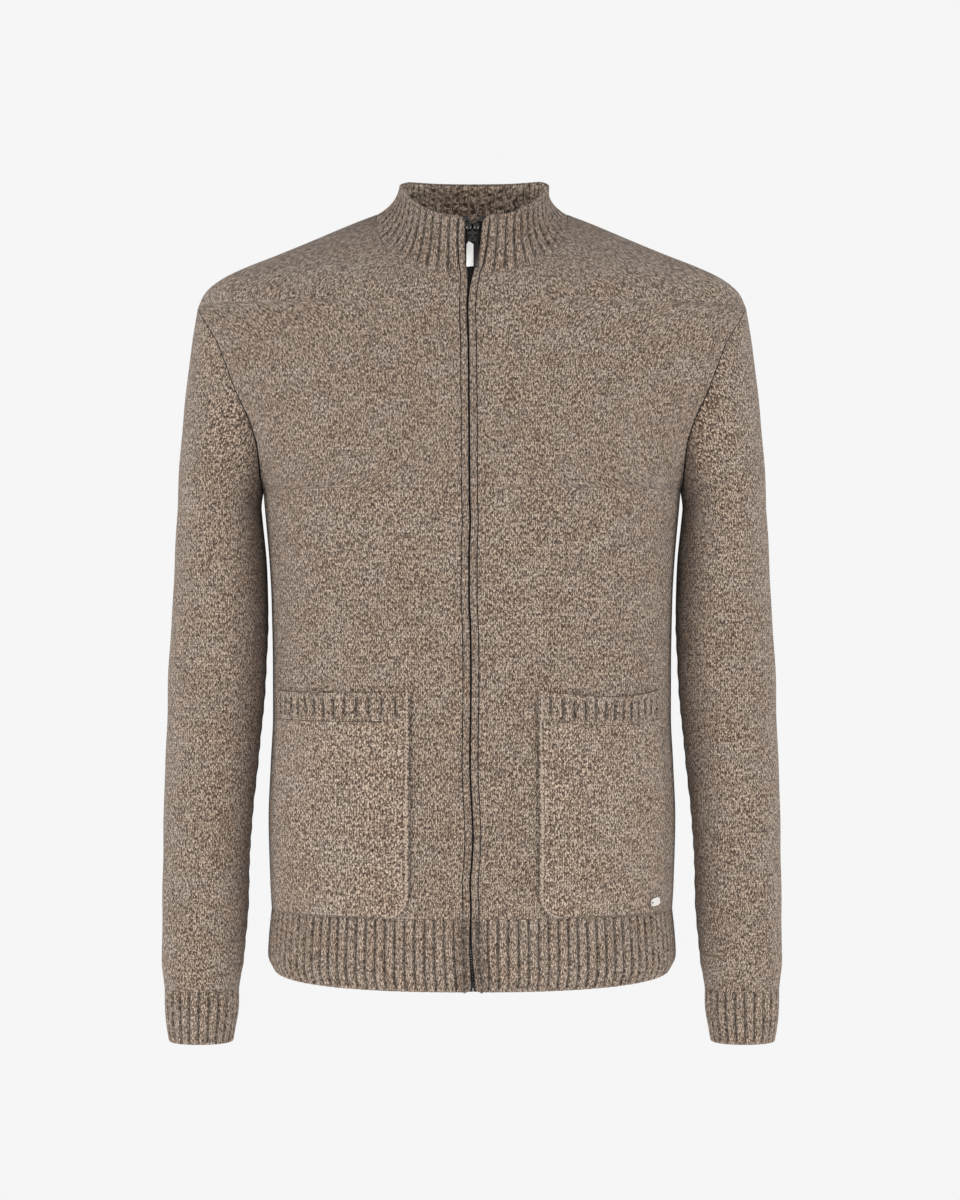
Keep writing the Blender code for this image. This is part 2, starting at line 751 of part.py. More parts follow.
def seam_point(x, z, front):
    angle = angle_at(x, z)
    return trunk(angle if front else math.pi - angle, z)


def seam_step(place, before, after, front):
    """A short step off the neck seam into the neck's opening, within the trunk's surface."""
    x, z = place
    angle = angle_at(x, z)
    normal = trunk_normal(angle if front else math.pi - angle, z)
    step = (after - before).cross(normal).normalized()
    if step.dot(Vector(NECK_INSIDE) - seam_point(x, z, front)) < 0:
        step = -step
    return step * NECK_SEAM_STEP


def collar_base():
    """The collar's lower edge from the left front edge round the back to the right one."""
    places = [(*place, True) for place in front_neck_places()]
    places += [(*neck_place(step, NECK_BACK_DROP), False) for step in reversed(BACK_NECK_STEPS)]
    seam = [seam_point(*place) for place in places]
    half = []
    for k, (x, z, front) in enumerate(places):
        before = seam[max(k - 1, 0)]
        after = seam[min(k + 1, len(seam) - 1)]
        half.append(seam[k] + seam_step((x, z), before, after, front))
    half[-1].x = 0.0
    return half + [mirrored(point, RIGHT) for point in reversed(half[:-1])]


def collar_top_at(x, back=False):
    """Point of the collar's top edge, at a distance from its own middle line."""
    middle = (COLLAR_FRONT_Y + COLLAR_BACK_Y) / 2
    reach = (COLLAR_BACK_Y - COLLAR_FRONT_Y) / 2
    share = min(1.0, abs(x) / COLLAR_HALF_WIDTH)
    depth = reach * (1 - share ** COLLAR_SQUARENESS) ** (1 / COLLAR_SQUARENESS)
    y = middle + (depth if back else -depth)
    return Vector((x, y, column(COLLAR_RIM, "z", y)))


def collar_top():
    """The collar's top edge, in the same order as its base."""
    edge = COLLAR_TOP_GAP + BAND_WIDTH + SEAM_GAP
    first = math.asin((edge / COLLAR_HALF_WIDTH) ** (COLLAR_SQUARENESS / 2))
    line = []
    for k in range(241):
        turn = mix(first, 2 * math.pi - first, k / 240)
        x = COLLAR_HALF_WIDTH * signed_power(math.sin(turn), 2 / COLLAR_SQUARENESS)
        line.append(collar_top_at(x, math.cos(turn) < 0))
    return line


def collar_between(base, top, share):
    """The collar leaves the shoulders with a flare, then stands up and leans to the left."""
    across = 1 - (1 - share) ** COLLAR_FLARE
    lean = COLLAR_LEAN_X * share ** 2
    return Vector((mix(base.x, top.x, across) + lean, mix(base.y, top.y, across),
                   mix(base.z, top.z, share)))


def collar_rows(shares):
    bases = walk(collar_base(), shares)
    tops = walk(collar_top(), shares)
    return [[collar_between(base, top, level) for base, top in zip(bases, tops)]
            for level in COLLAR_LEVELS]


def sheet_normals(rows):
    """Outward normals of an open grid whose rows run towards the left and climb."""
    normals = []
    for r, row in enumerate(rows):
        above = rows[min(r + 1, len(rows) - 1)]
        below = rows[max(r - 1, 0)]
        line = []
        for c in range(len(row)):
            across = row[min(c + 1, len(row) - 1)] - row[max(c - 1, 0)]
            line.append(across.cross(above[c] - below[c]).normalized())
        normals.append(line)
    return normals


def build_collar(name):
    shares = rib_shares(COLLAR_RIBS, False)
    crests = collar_rows([share for share, _ in shares])
    outer = [[point - normal * depth for point, normal, (_, depth) in zip(row, line, shares)]
             for row, line in zip(crests, sheet_normals(crests))]
    plain = collar_rows([rib / COLLAR_RIBS for rib in range(COLLAR_RIBS + 1)])
    inner = [[point - normal * RIB_WALL for point, normal in zip(row, line)]
             for row, line in zip(plain, sheet_normals(plain))]
    for crest, out, back in zip(crests, outer, inner):
        for end in (0, -1):
            out[end].x = crest[end].x
            back[end].x = crest[end].x
    return ribbed_wall(name, outer, inner, False, RIB_KNIT)


def edge_rows(side):
    """Rows from the hem's edge to the collar's top, each a function from an inset and a share.

    The inset is measured from the gap in the middle; a row gives the point of the garment's
    outside there.
    """
    rows = []
    for share in reversed(HEM_LEVELS):
        rows.append(lambda low, high, share=share: hem_edge_point(low, share))
    for z in side_rows()[1:] + armhole_rows()[::EDGE_ROW_STEP] + [FRONT_SHOULDER_Z]:
        rows.append(lambda low, high, z=z: trunk(angle_at(low + straight(ZIP_GAPS, "half_gap", z), z), z))
    for level in COLLAR_LEVELS:
        rows.append(lambda low, high, level=level: collar_edge_point(low, high, level, side))
    return rows


def hem_edge_point(inset, share):
    x = inset + straight(ZIP_GAPS, "half_gap", mix(HEM_SEAM_Z, HEM_FRONT_Z, share))
    width = column(HEM_PROFILE, "half_width", share)
    return hem(math.asin((x / width) ** (TRUNK_SQUARENESS / 2)), share)


def collar_edge_point(low, high, level, side):
    x = low + COLLAR_BASE_GAP
    z = NECK_POINT_Z - NECK_FRONT_DROP * (1 - (x / NECK_HALF_WIDTH) ** NECK_SQUARENESS) ** (
        1 / NECK_SQUARENESS)
    base = trunk(angle_at(x, z), z) + Vector((0, 0, NECK_SEAM_STEP))
    point = collar_between(base, collar_top_at(high + COLLAR_TOP_GAP), level)
    if side == RIGHT:
        point.x -= 2 * COLLAR_LEAN_X * level ** 2
    return point


def edge_strip(columns, side):
    """Grid of points up a front edge: columns hold an inset low down and one at the collar's top."""
    return [[row(low, high) for low, high in columns] for row in edge_rows(side)]


def build_band(name, side):
    """The rolled edge that stands proud along the zip."""
    insets = (0.0, BAND_ROLL, BAND_WIDTH - BAND_ROLL, BAND_WIDTH)
    rises = (-BAND_GAP_SINK, BAND_RISE, BAND_RISE, -BAND_SEAM_SINK)
    grid = edge_strip([(inset, inset) for inset in insets], side)
    normals = sheet_normals(grid)
    outer = [[mirrored(point + normal * rise, side) for point, normal, rise in zip(row, line, rises)]
             for row, line in zip(grid, normals)]
    inner = [[mirrored(row[c] - line[c] * RIB_WALL, side) for c in (0, -1)]
             for row, line in zip(grid, normals)]
    return ribbed_wall(name, outer, inner, False, RIB_KNIT)


def build_tape(name, side):
    """The zip's woven tape, behind the front edge."""
    middle = (TAPE_INNER_BELOW + TAPE_OUTER) / 2
    top_middle = middle + TAPE_INNER_TOP / 2
    columns = [(TAPE_INNER_BELOW, TAPE_INNER_TOP), (middle, top_middle),
               (TAPE_OUTER, TAPE_OUTER + TAPE_INNER_TOP / 2)]
    columns = [(low - straight(ZIP_GAPS, "half_gap", SHOULDER_TIP_Z), high - COLLAR_TOP_GAP)
               for low, high in columns]
    grid = edge_strip(columns, side)
    pairs = [[[mirrored(point - normal * depth, side) for depth in (TAPE_DEPTH, TAPE_DEPTH + TAPE_WALL)]
              for point, normal in zip(row, line)]
             for row, line in zip(grid, sheet_normals(grid))]
    return plain_wall(name, [pairs], TAPE)


# ---------------------------------------------------------------- zip slider and pull tab


def zip_middle(z):
    """Point between the two front edges at a height of the collar."""
    seam_z = NECK_POINT_Z - NECK_FRONT_DROP
    level = (z - seam_z) / (COLLAR_FRONT_Z - seam_z)
    return collar_edge_point(-COLLAR_BASE_GAP, -COLLAR_TOP_GAP, level, LEFT)


def slider_frame():
    """Frame of the slider: X across, Y down the zip, Z out of the cloth."""
    top = zip_middle(SLIDER_TOP_Z)
    foot = zip_middle(SLIDER_TOP_Z - SLIDER_LENGTH - PULL_LENGTH + PULL_AXIS_DROP)
    down = Vector((0, foot.y - top.y, foot.z - top.z)).normalized()
    across = Vector((1, 0, 0))
    out = down.cross(across).normalized()
    if out.y > 0:
        out = -out
    frame = Matrix((across, down, out)).transposed().to_4x4()
    frame.translation = Vector((SLIDER_X, top.y, top.z))
    return frame


def slab(shape, outline, low, high):
    """An extruded outline between two depths, added to a bmesh."""
    base = [shape.verts.new((x, y, low)) for x, y in outline]
    face = shape.faces.new(base)
    lifted = bmesh.ops.extrude_face_region(shape, geom=[face])["geom"]
    points = [item for item in lifted if isinstance(item, bmesh.types.BMVert)]
    bmesh.ops.translate(shape, verts=points, vec=(0, 0, high - low))


def slab_object(name, outline, low, high, finish):
    shape = bmesh.new()
    slab(shape, outline, low, high)
    bmesh.ops.recalc_face_normals(shape, faces=shape.faces)
    mesh = bpy.data.meshes.new(name)
    shape.to_mesh(mesh)
    shape.free()
    mesh.materials.append(material_of(finish))
    thing = bpy.data.objects.new(name, mesh)
    bpy.context.scene.collection.objects.link(thing)
    return thing


def join_solids(base, others):
    """Union of solids into the first, with the others used up."""
    for other in others:
        union = base.modifiers.new("union", "BOOLEAN")
        union.operation = "UNION"
        union.object = other
        other.hide_render = True
        other.display_type = "WIRE"
    return base


def slider_outline():
    """A slider's plate: two round shoulders, a waist and a narrow foot."""
    shoulder = SLIDER_HALF_WIDTH - SLIDER_SHOULDER_ACROSS
    outline = []
    for degrees in SLIDER_SHOULDER_STEPS:
        turn = math.radians(degrees)
        outline.append((shoulder + SLIDER_SHOULDER_ACROSS * math.cos(turn),
                        SLIDER_SHOULDER_DOWN * (1 - math.sin(turn))))
    outline.append((0.0, SLIDER_NOTCH))
    left = [(-x, y) for x, y in reversed(outline[:-1])]
    low = [(-SLIDER_FOOT_HALF_WIDTH * foot.width_share, SLIDER_LENGTH * foot.length_share)
           for foot in SLIDER_FEET]
    return outline + left + low + [(-x, y) for x, y in reversed(low)]


def bridge_outline():
    """Side view of the bridge: an arch with a round opening for the pull's pin."""
    low = SLIDER_FRONT[1] - BRIDGE_BITE
    half = BRIDGE_HALF_LENGTH
    top = SLIDER_FRONT[1] + BRIDGE_HEIGHT
    flat = half - BRIDGE_BEVEL_LONG
    side = top - BRIDGE_BEVEL_HIGH
    hole = half - BRIDGE_BAR
    roof = top - BRIDGE_BAR
    return [(-half, low), (-half, side), (-flat, top), (flat, top), (half, side), (half, low),
            (hole, low), (hole, roof), (-hole, roof), (-hole, low)]


def build_slider(name):
    frame = slider_frame()
    outline = slider_outline()
    front = slab_object(name, outline, *SLIDER_FRONT, BLACK_METAL)
    back = slab_object("slider_back_plate", outline, *SLIDER_BACK, BLACK_METAL)
    wide = POST_HALF_WIDTH
    thin = wide * POST_TAPER
    post_outline = [(-wide, POST_TOP), (wide, POST_TOP), (thin, POST_FOOT), (-thin, POST_FOOT)]
    post = slab_object("slider_post", post_outline, SLIDER_BACK[1] - POST_BITE, SLIDER_FRONT[0] + POST_BITE,
                       BLACK_METAL)
    bridge = slab_object("slider_bridge", bridge_outline(), -BRIDGE_HALF_WIDTH, BRIDGE_HALF_WIDTH,
                         BLACK_METAL)
    bridge.data.transform(Matrix(((0, 0, 1, 0), (1, 0, 0, PULL_AXIS_DROP), (0, 1, 0, 0), (0, 0, 0, 1))))
    join_solids(front, (back, post, bridge))
    for piece in (front, back, post, bridge):
        piece.matrix_world = frame
    return front


def pull_section(ring):
    """Cross-section of the pull tab's bar: a flat back and two facets that meet in a ridge."""
    half = ring.half_width
    low = -PULL_PIN / 2
    edge = low + PULL_EDGE
    return [Vector((-half, ring.drop, low)), Vector((half, ring.drop, low)), Vector((half, ring.drop, edge)),
            Vector((PULL_RIDGE_X, ring.drop, edge + ring.ridge)), Vector((-half, ring.drop, edge))]


def build_pull_tab(name):
    """The pull tab, hung by a pin through the slider's bridge, with its origin on the pin."""
    shape = bmesh.new()
    rings = [[shape.verts.new(point) for point in pull_section(ring)] for ring in PULL_RINGS]
    for low, high in zip(rings, rings[1:]):
        for k in range(len(low)):
            n = (k + 1) % len(low)
            shape.faces.new((low[k], low[n], high[n], high[k]))
    shape.faces.new(rings[0])
    shape.faces.new(reversed(rings[-1]))
    bmesh.ops.recalc_face_normals(shape, faces=shape.faces)
    mesh = bpy.data.meshes.new(name)
    shape.to_mesh(mesh)
    shape.free()
    mesh.materials.append(material_of(BRIGHT_METAL))
    bar = bpy.data.objects.new(name, mesh)
    bpy.context.scene.collection.objects.link(bar)
    inside = PULL_EYE_HALF_WIDTH
    wide = inside + PULL_ARM
    half_pin = PULL_PIN / 2
    foot = PULL_EYE_LENGTH + PULL_EYE_BITE
    eye = [(-wide, foot), (-wide, -half_pin), (wide, -half_pin), (wide, foot),
           (inside, foot), (inside, half_pin), (-inside, half_pin), (-inside, foot)]
    loop = slab_object("pull_eye", eye, -half_pin, half_pin, BRIGHT_METAL)
    join_solids(bar, (loop,))
    frame = slider_frame()
    hung = frame.copy()
    hung.translation = frame @ Vector((0, PULL_AXIS_DROP, PULL_AXIS_HEIGHT))
    for piece in (bar, loop):
        piece.matrix_world = hung
    return bar


# ---------------------------------------------------------------- pockets


class FrontSheet:
    """The faceted outside of a front, so that what lies on it follows its facets."""

    def __init__(self):
        self.rows = front_rows()
        self.grid = [[pair[0] for pair in row] for row in front_grid()]

    def row_at(self, z):
        r = max(k for k in range(len(self.rows) - 1) if self.rows[k][0] <= z)
        return r, (z - self.rows[r][0]) / (self.rows[r + 1][0] - self.rows[r][0])

    def angle(self, place, z):
        r, t = self.row_at(z)
        start = mix(self.rows[r][1], self.rows[r + 1][1], t)
        return mix(start, math.pi / 2, place / FRONT_COLUMNS)

    def place(self, x, z):
        """Which of the front's columns lies at x, counted from the front edge."""
        start = self.angle(0, z)
        return (angle_at(x, z) - start) / (math.pi / 2 - start) * FRONT_COLUMNS

    def lifted(self, place, z, lift):
        """Point over the facets at a column's place, moved out along the front's normal."""
        r, t = self.row_at(z)
        c = min(max(int(place), 0), FRONT_COLUMNS - 1)
        low, high = [self.grid[k][c].lerp(self.grid[k][c + 1], place - c) for k in (r, r + 1)]
        return low.lerp(high, t) + trunk_normal(self.angle(place, z), z) * lift


def mouth_z(cut, share):
    return cut.mouth_z - cut.mouth_sag * math.sin(math.pi * share)


def mouth_gape(cut, share, down):
    """How far the mouth stands off the front, less and less below it."""
    bell = math.exp(-((share - cut.gape_at) / MOUTH_GAPE_SPREAD) ** 2)
    return cut.gape * bell * math.sin(math.pi * min(max(share, 0.0), 1.0)) * (1 - down) ** 2


def build_pocket_rib(name, cut, sheet):
    outer = []
    inner = []
    for level in (0.0, 0.5, 1.0):
        lines = []
        plain = [(rib / POCKET_RIBS, 0.0) for rib in range(POCKET_RIBS + 1)]
        for shares, lift in ((rib_shares(POCKET_RIBS, False), KNIT_WALL), (plain, 0.0)):
            row = []
            for share, depth in shares:
                z = mouth_z(cut, share) - POCKET_RIB_HEIGHT * level
                place = mix(sheet.place(cut.inner_x, POCKET_FOOT_Z), sheet.place(cut.outer_x, POCKET_FOOT_Z),
                            share)
                stand = POCKET_LIFT + mouth_gape(cut, share, level) + lift - depth * POCKET_GROOVE
                row.append(mirrored(sheet.lifted(place, z, stand), cut.side))
            lines.append(row)
        outer.append(lines[0])
        inner.append(lines[1])
    return ribbed_wall(name, outer, inner, False, RIB_KNIT)


def pocket_places(cut, sheet):
    """The front's column lines and half lines that the pocket lies across, then its outer edge."""
    beyond_corner = sheet.place(cut.inner_x + POCKET_CORNER, POCKET_FOOT_Z)
    last = sheet.place(cut.outer_x, POCKET_FOOT_Z)
    halves = [k / 2 for k in range(2 * FRONT_COLUMNS)]
    return [place for place in halves if beyond_corner < place < last - 0.1] + [last]


def build_pocket(name, cut, sheet):
    """The pocket's plain part, its lower inner corner rounded."""
    rows = []
    for degrees in POCKET_CORNER_STEPS:
        turn = math.radians(degrees)
        rows.append((POCKET_FOOT_Z + POCKET_CORNER * (1 - math.sin(turn)),
                     cut.inner_x + POCKET_CORNER * (1 - math.cos(turn)), 0.0))
    rows += [(rows[-1][0], cut.inner_x, k / POCKET_ROWS) for k in range(1, POCKET_ROWS + 1)]
    grid = []
    for z, start_x, climb in rows:
        start = sheet.place(start_x, POCKET_FOOT_Z)
        lines = pocket_places(cut, sheet)
        row = []
        for place in [start, (start + lines[0]) / 2] + lines:
            share = (place - start) / (lines[-1] - start)
            top = mouth_z(cut, share) - POCKET_RIB_HEIGHT - 2 * SEAM_GAP
            row.append([mirrored(sheet.lifted(place, mix(z, top, climb), POCKET_LIFT + lift), cut.side)
                        for lift in (KNIT_WALL, 0.0)])
        grid.append(row)
    return plain_wall(name, [grid], KNIT)


def build_plate(name, sheet):
    """The small bare metal plate by the pocket's lower outer corner."""
    centre = sheet.lifted(sheet.place(PLATE_X, PLATE_Z), PLATE_Z,
                          POCKET_LIFT + KNIT_WALL + PLATE_CLEARANCE)
    out = trunk_normal(angle_at(PLATE_X, PLATE_Z), PLATE_Z)
    up = (Vector((0, 0, 1)) - out * out.z).normalized()
    across = up.cross(out).normalized()
    w = PLATE_HALF_WIDTH
    h = PLATE_HALF_HEIGHT
    flat = w - PLATE_CORNER
    side = h - PLATE_CORNER
    outline = [(-flat, -h), (flat, -h), (w, -side), (w, side), (flat, h), (-flat, h), (-w, side), (-w, -side)]
    plate = slab_object(name, outline, 0.0, PLATE_THICKNESS, BRIGHT_METAL)
    frame = Matrix((across, up, out)).transposed().to_4x4()
    frame.translation = centre
    plate.matrix_world = frame @ Matrix.Rotation(PLATE_TILT, 4, "Z")
    return plate


# ---------------------------------------------------------------- the whole garment


def build_all():
    for thing in list(bpy.data.objects):
        bpy.data.objects.remove(thing, do_unlink=True)
    sheet = FrontSheet()
    build_back("back")
    build_collar("collar")
    build_hem("hem_rib_back", math.pi / 2, 3 * math.pi / 2, HEM_BACK_RIBS, 0)
    for word, side in (("left", LEFT), ("right", RIGHT)):
        build_front(f"front_{word}", side)
        build_sleeve(f"sleeve_{word}", side)
        build_cuff(f"cuff_{word}", side)
        build_hem(f"hem_rib_{word}", angle_at(BAND_WIDTH, HEM_SEAM_Z), math.pi / 2, HEM_FRONT_RIBS, side)
        build_band(f"front_band_{word}", side)
        build_tape(f"zip_tape_{word}", side)
    for cut in POCKETS:
        word = "left" if cut.side == LEFT else "right"
        build_pocket_rib(f"pocket_rib_{word}", cut, sheet)
        build_pocket(f"pocket_{word}", cut, sheet)
    build_plate("pocket_plate", sheet)
    build_slider("zip_slider")
    build_pull_tab("pull_tab")


build_all()
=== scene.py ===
"""Zip mock neck sweater: the finish of every surface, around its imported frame.

Metres, +Z up. +X is the wearer's left and the front faces -Y. Stitch coordinates count
wales across and courses up, so one knitted pattern fits every piece.
"""
import logging
import math
from dataclasses import dataclass
from enum import Enum
from functools import cached_property

import bmesh
import bpy
import numpy as np
from mathutils import Matrix, Vector


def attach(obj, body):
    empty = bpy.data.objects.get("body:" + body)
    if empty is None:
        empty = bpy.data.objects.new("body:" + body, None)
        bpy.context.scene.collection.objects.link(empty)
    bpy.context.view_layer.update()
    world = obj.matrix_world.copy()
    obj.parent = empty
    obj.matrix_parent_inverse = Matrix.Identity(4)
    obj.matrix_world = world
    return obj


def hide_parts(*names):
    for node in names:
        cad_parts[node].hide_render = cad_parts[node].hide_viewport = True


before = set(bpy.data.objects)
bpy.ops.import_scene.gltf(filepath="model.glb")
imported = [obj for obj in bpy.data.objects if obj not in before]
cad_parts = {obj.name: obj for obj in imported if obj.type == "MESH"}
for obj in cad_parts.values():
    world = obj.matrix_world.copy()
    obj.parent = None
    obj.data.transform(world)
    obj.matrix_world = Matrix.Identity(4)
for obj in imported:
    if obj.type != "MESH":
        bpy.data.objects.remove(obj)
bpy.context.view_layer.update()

log = logging.getLogger("sweater")
Array = np.ndarray
Values = np.ndarray | float
Table = tuple[tuple[float, ...], ...]
Object = bpy.types.Object
Material = bpy.types.Material
Socket = bpy.types.NodeSocket
Tree = bpy.types.NodeTree
Node = bpy.types.Node
Triple = tuple[float, float, float]
Colour = Triple

GARMENT = "garment"
PULL = "pull_tab"
HALF_PI = math.pi / 2
FLIP = np.array([-1.0, 1.0, 1.0])


class Side(Enum):
    """The wearer's two sides, as the sign of X."""

    LEFT = 1
    RIGHT = -1

    @property
    def word(self) -> str:
        """The side's name in lower case."""
        return self.name.lower()


class Held(Enum):
    """How a sheet of cloth is held in the worn garment."""

    HUNG = "hung"
    STRETCHED = "stretched"


# ------------------------------ curves and grids


class Curve:
    """A smooth value along a few (place, value) rows, which never overshoots them."""

    def __init__(self, rows: Table, column: int = 1) -> None:
        """Fit the curve.

        Args:
            rows: Short table whose first column is the place.
            column: Which column holds the value.
        """
        table = np.array(sorted(rows), dtype=float)
        self.places = table[:, 0]
        self.values = table[:, column]
        slopes = np.diff(self.values) / np.diff(self.places)
        before, after = slopes[:-1], slopes[1:]
        same_way = before * after > 0
        inner = np.where(same_way, 2 * before * after / np.where(same_way, before + after, 1), 0)
        self.tangents = np.concatenate([slopes[:1], inner, slopes[-1:]])

    def __call__(self, at: Values) -> Array:
        """Value at one or many places.

        Args:
            at: One or many places.

        Returns:
            The value at each.
        """
        at = np.clip(at, self.places[0], self.places[-1])
        i = np.clip(np.searchsorted(self.places, at, side="right") - 1, 0, len(self.places) - 2)
        width = self.places[i + 1] - self.places[i]
        t = (at - self.places[i]) / width
        ends = self.values[i] * (1 + 2 * t) * (1 - t) ** 2 + self.values[i + 1] * t * t * (3 - 2 * t)
        bend = self.tangents[i] * t * (1 - t) ** 2 + self.tangents[i + 1] * t * t * (t - 1)
        return ends + bend * width


def signed_power(value: Values, exponent: float) -> Array:
    """Power of the size of a value, with its sign kept."""
    return np.sign(value) * np.abs(value) ** exponent


def mix(a: Values, b: Values, t: Values) -> Values:
    """Straight mix from a, at 0, to b, at 1."""
    return a * (1 - t) + b * t


def stack(x: Values, y: Values, z: Values) -> Array:
    """Points from their three coordinates, broadcast together."""
    return np.stack(np.broadcast_arrays(x, y, z), axis=-1).astype(float)


def lengths_of(points: Array, axis: int = 0) -> Array:
    """Length from the first point to each of the others, on a polyline or along a grid."""
    steps = np.cumsum(np.linalg.norm(np.diff(points, axis=axis), axis=-1), axis=axis)
    return np.insert(steps, 0, 0.0, axis=axis)


def pairs(a: Values, b: Values) -> Array:
    """Two values at each place of a grid, broadcast together."""
    return np.stack(np.broadcast_arrays(a, b), axis=-1)


def walk(line: Array, shares: Array) -> Array:
    """Points at given shares of a polyline's length.

    Args:
        line: Points of the polyline.
        shares: Shares of its length, from 0 to 1.

    Returns:
        The points.
    """
    lengths = lengths_of(line)
    goals = np.asarray(shares) * lengths[-1]
    return np.stack([np.interp(goals, lengths, line[:, k]) for k in range(3)], axis=-1)


def unit(vectors: Array) -> Array:
    """Vectors of length one, in the same directions."""
    size = np.linalg.norm(vectors, axis=-1, keepdims=True)
    return vectors / np.where(size > 1e-12, size, 1)


def grid_normals(points: Array, closed: bool = False) -> Array:
    """Normals of a grid of points: across the columns, crossed with up the rows.

    Args:
        points: Rows, columns, three coordinates.
        closed: Whether the last column lies on the first.

    Returns:
        Unit normals in the same layout.
    """
    if closed:
        wrapped = np.concatenate([points[:, -2:-1], points, points[:, 1:2]], axis=1)
        across = wrapped[:, 2:] - wrapped[:, :-2]
    else:
        across = np.gradient(points, axis=1)
    return unit(np.cross(across, np.gradient(points, axis=0)))


def places_with_rolls(count: int, width: float, roll: float) -> Array:
    """Even shares of a width, with two more lines inside the rolled edge at each end."""
    near = np.array([0.3, 1.0]) * roll / width
    return np.concatenate([[0.0], near, np.linspace(0, 1, count + 1)[1:-1], 1 - near[::-1], [1.0]])


def tuck(distance: Array, roll: float) -> Array:
    """How deep a rolled edge lies under the surface, at a distance from the edge."""
    left = np.clip(1 - distance / roll, 0, 1)
    return roll * (1 - np.sqrt(1 - left ** 2))


def ripple(points: Array, size: float, seed: int) -> Array:
    """Smooth unevenness from -1 to 1: a few crossed waves of about one size.

    Args:
        points: Places to read it at.
        size: Length of a wave in metres.
        seed: Fixed seed of the waves' directions.

    Returns:
        A value for each point.
    """
    rng = np.random.default_rng(seed)
    total = np.zeros(points.shape[:-1])
    waves = 6
    for _ in range(waves):
        direction = unit(rng.normal(size=3))
        count = 2 * math.pi / (size * (0.7 + 0.6 * rng.random()))
        total += np.sin(points @ direction * count + rng.random() * 2 * math.pi)
    return total / waves


@dataclass(frozen=True)
class Crease:
    """A soft trough, or a ridge where its depth is negative, laid over the cloth."""

    middle: Triple
    along: Triple
    length: float
    width: float
    depth: float

    def lift(self, points: Array) -> Array:
        """How far the crease moves each point out along its normal.

        Args:
            points: Points of the cloth.

        Returns:
            The height at each.
        """
        way = unit(np.array(self.along))
        offset = points - np.array(self.middle)
        run = offset @ way
        aside = np.linalg.norm(offset - run[..., None] * way, axis=-1)
        return -self.depth * np.exp(-((aside / self.width) ** 2) - (run / self.length) ** 2)


@dataclass(frozen=True)
class Sway:
    """How far the closed front wanders sideways, as the worn cloth hangs.

    Attributes:
        rows: Height and sideways shift.
        reach: Distance from the middle over which the shift fades.
        back_y: Cloth behind this stays where it is.
    """

    rows: Table = ((-0.6695, 0.0012), (-0.6595, 0.0010), (-0.6394, -0.0006), (-0.6243, -0.0010),
                   (-0.5991, -0.0006), (-0.5789, -0.0013), (-0.5587, 0.0003), (-0.5386, 0.0011),
                   (-0.5184, 0.0003), (-0.4781, -0.0014), (-0.4067, -0.0006), (-0.3622, -0.0011),
                   (-0.3395, -0.0022), (-0.3017, -0.0022), (-0.2715, -0.0012), (-0.2555, -0.0018),
                   (-0.1967, -0.0021), (-0.1253, -0.0027), (-0.0900, -0.0037), (-0.0749, -0.0027),
                   (-0.0550, -0.0008), (-0.0400, 0.0))
    reach: float = 0.035
    back_y: float = -0.030

    def moved(self, points: Array) -> Array:
        """Points shifted with the front edges.

        Args:
            points: Points of the cloth.

        Returns:
            The shifted points.
        """
        near = np.exp(-((points[..., 0] / self.reach) ** 2)) * (points[..., 1] < self.back_y)
        shifted = points.copy()
        shifted[..., 0] += Curve(self.rows)(points[..., 2]) * near
        return shifted


SWAY = Sway()


# ------------------------------ meshes


@dataclass
class Patch:
    """A grid of points on the outside of the cloth.

    Attributes:
        points: Rows, columns, three coordinates.
        stitches: Rows, columns, wale and course.
        hollow: Rows, columns: 1 in the bottom of a groove or seam, 0 in the open; the finish darkens by it as
            painted shade.
    """

    points: Array
    stitches: Array
    hollow: Array

    def mirrored(self, side: Side) -> "Patch":
        """The patch on the given side of the body."""
        if side is Side.LEFT:
            return self
        other_yarn = np.array([213.0, 137.0])
        return Patch((self.points * FLIP)[:, ::-1], self.stitches[:, ::-1] + other_yarn,
                     self.hollow[:, ::-1])

    def joined(self, other: "Patch") -> "Patch":
        """The patch with the rows of another on top."""
        return Patch(*(np.concatenate(both) for both in zip(
            (self.points, self.stitches, self.hollow), (other.points, other.stitches, other.hollow))))


def clean_quads(quads: Array, corners: Array) -> tuple[list[list[int]], list[int]]:
    """Faces with any doubled point left out, and the grid corner behind each face corner.

    Args:
        quads: Point numbers of each face, doubled points counted once.
        corners: Grid corners of each face.

    Returns:
        The faces, and one grid corner for each of their corners.
    """
    faces = []
    sources = []
    for quad, corner in zip(quads.tolist(), corners.tolist()):
        kept = [k for k in range(4) if quad[k] != quad[k - 1]]
        if len(kept) < 3 or len({quad[k] for k in kept}) < len(kept):
            continue
        faces.append([quad[k] for k in kept])
        sources.extend(corner[k] for k in kept)
    return faces, sources


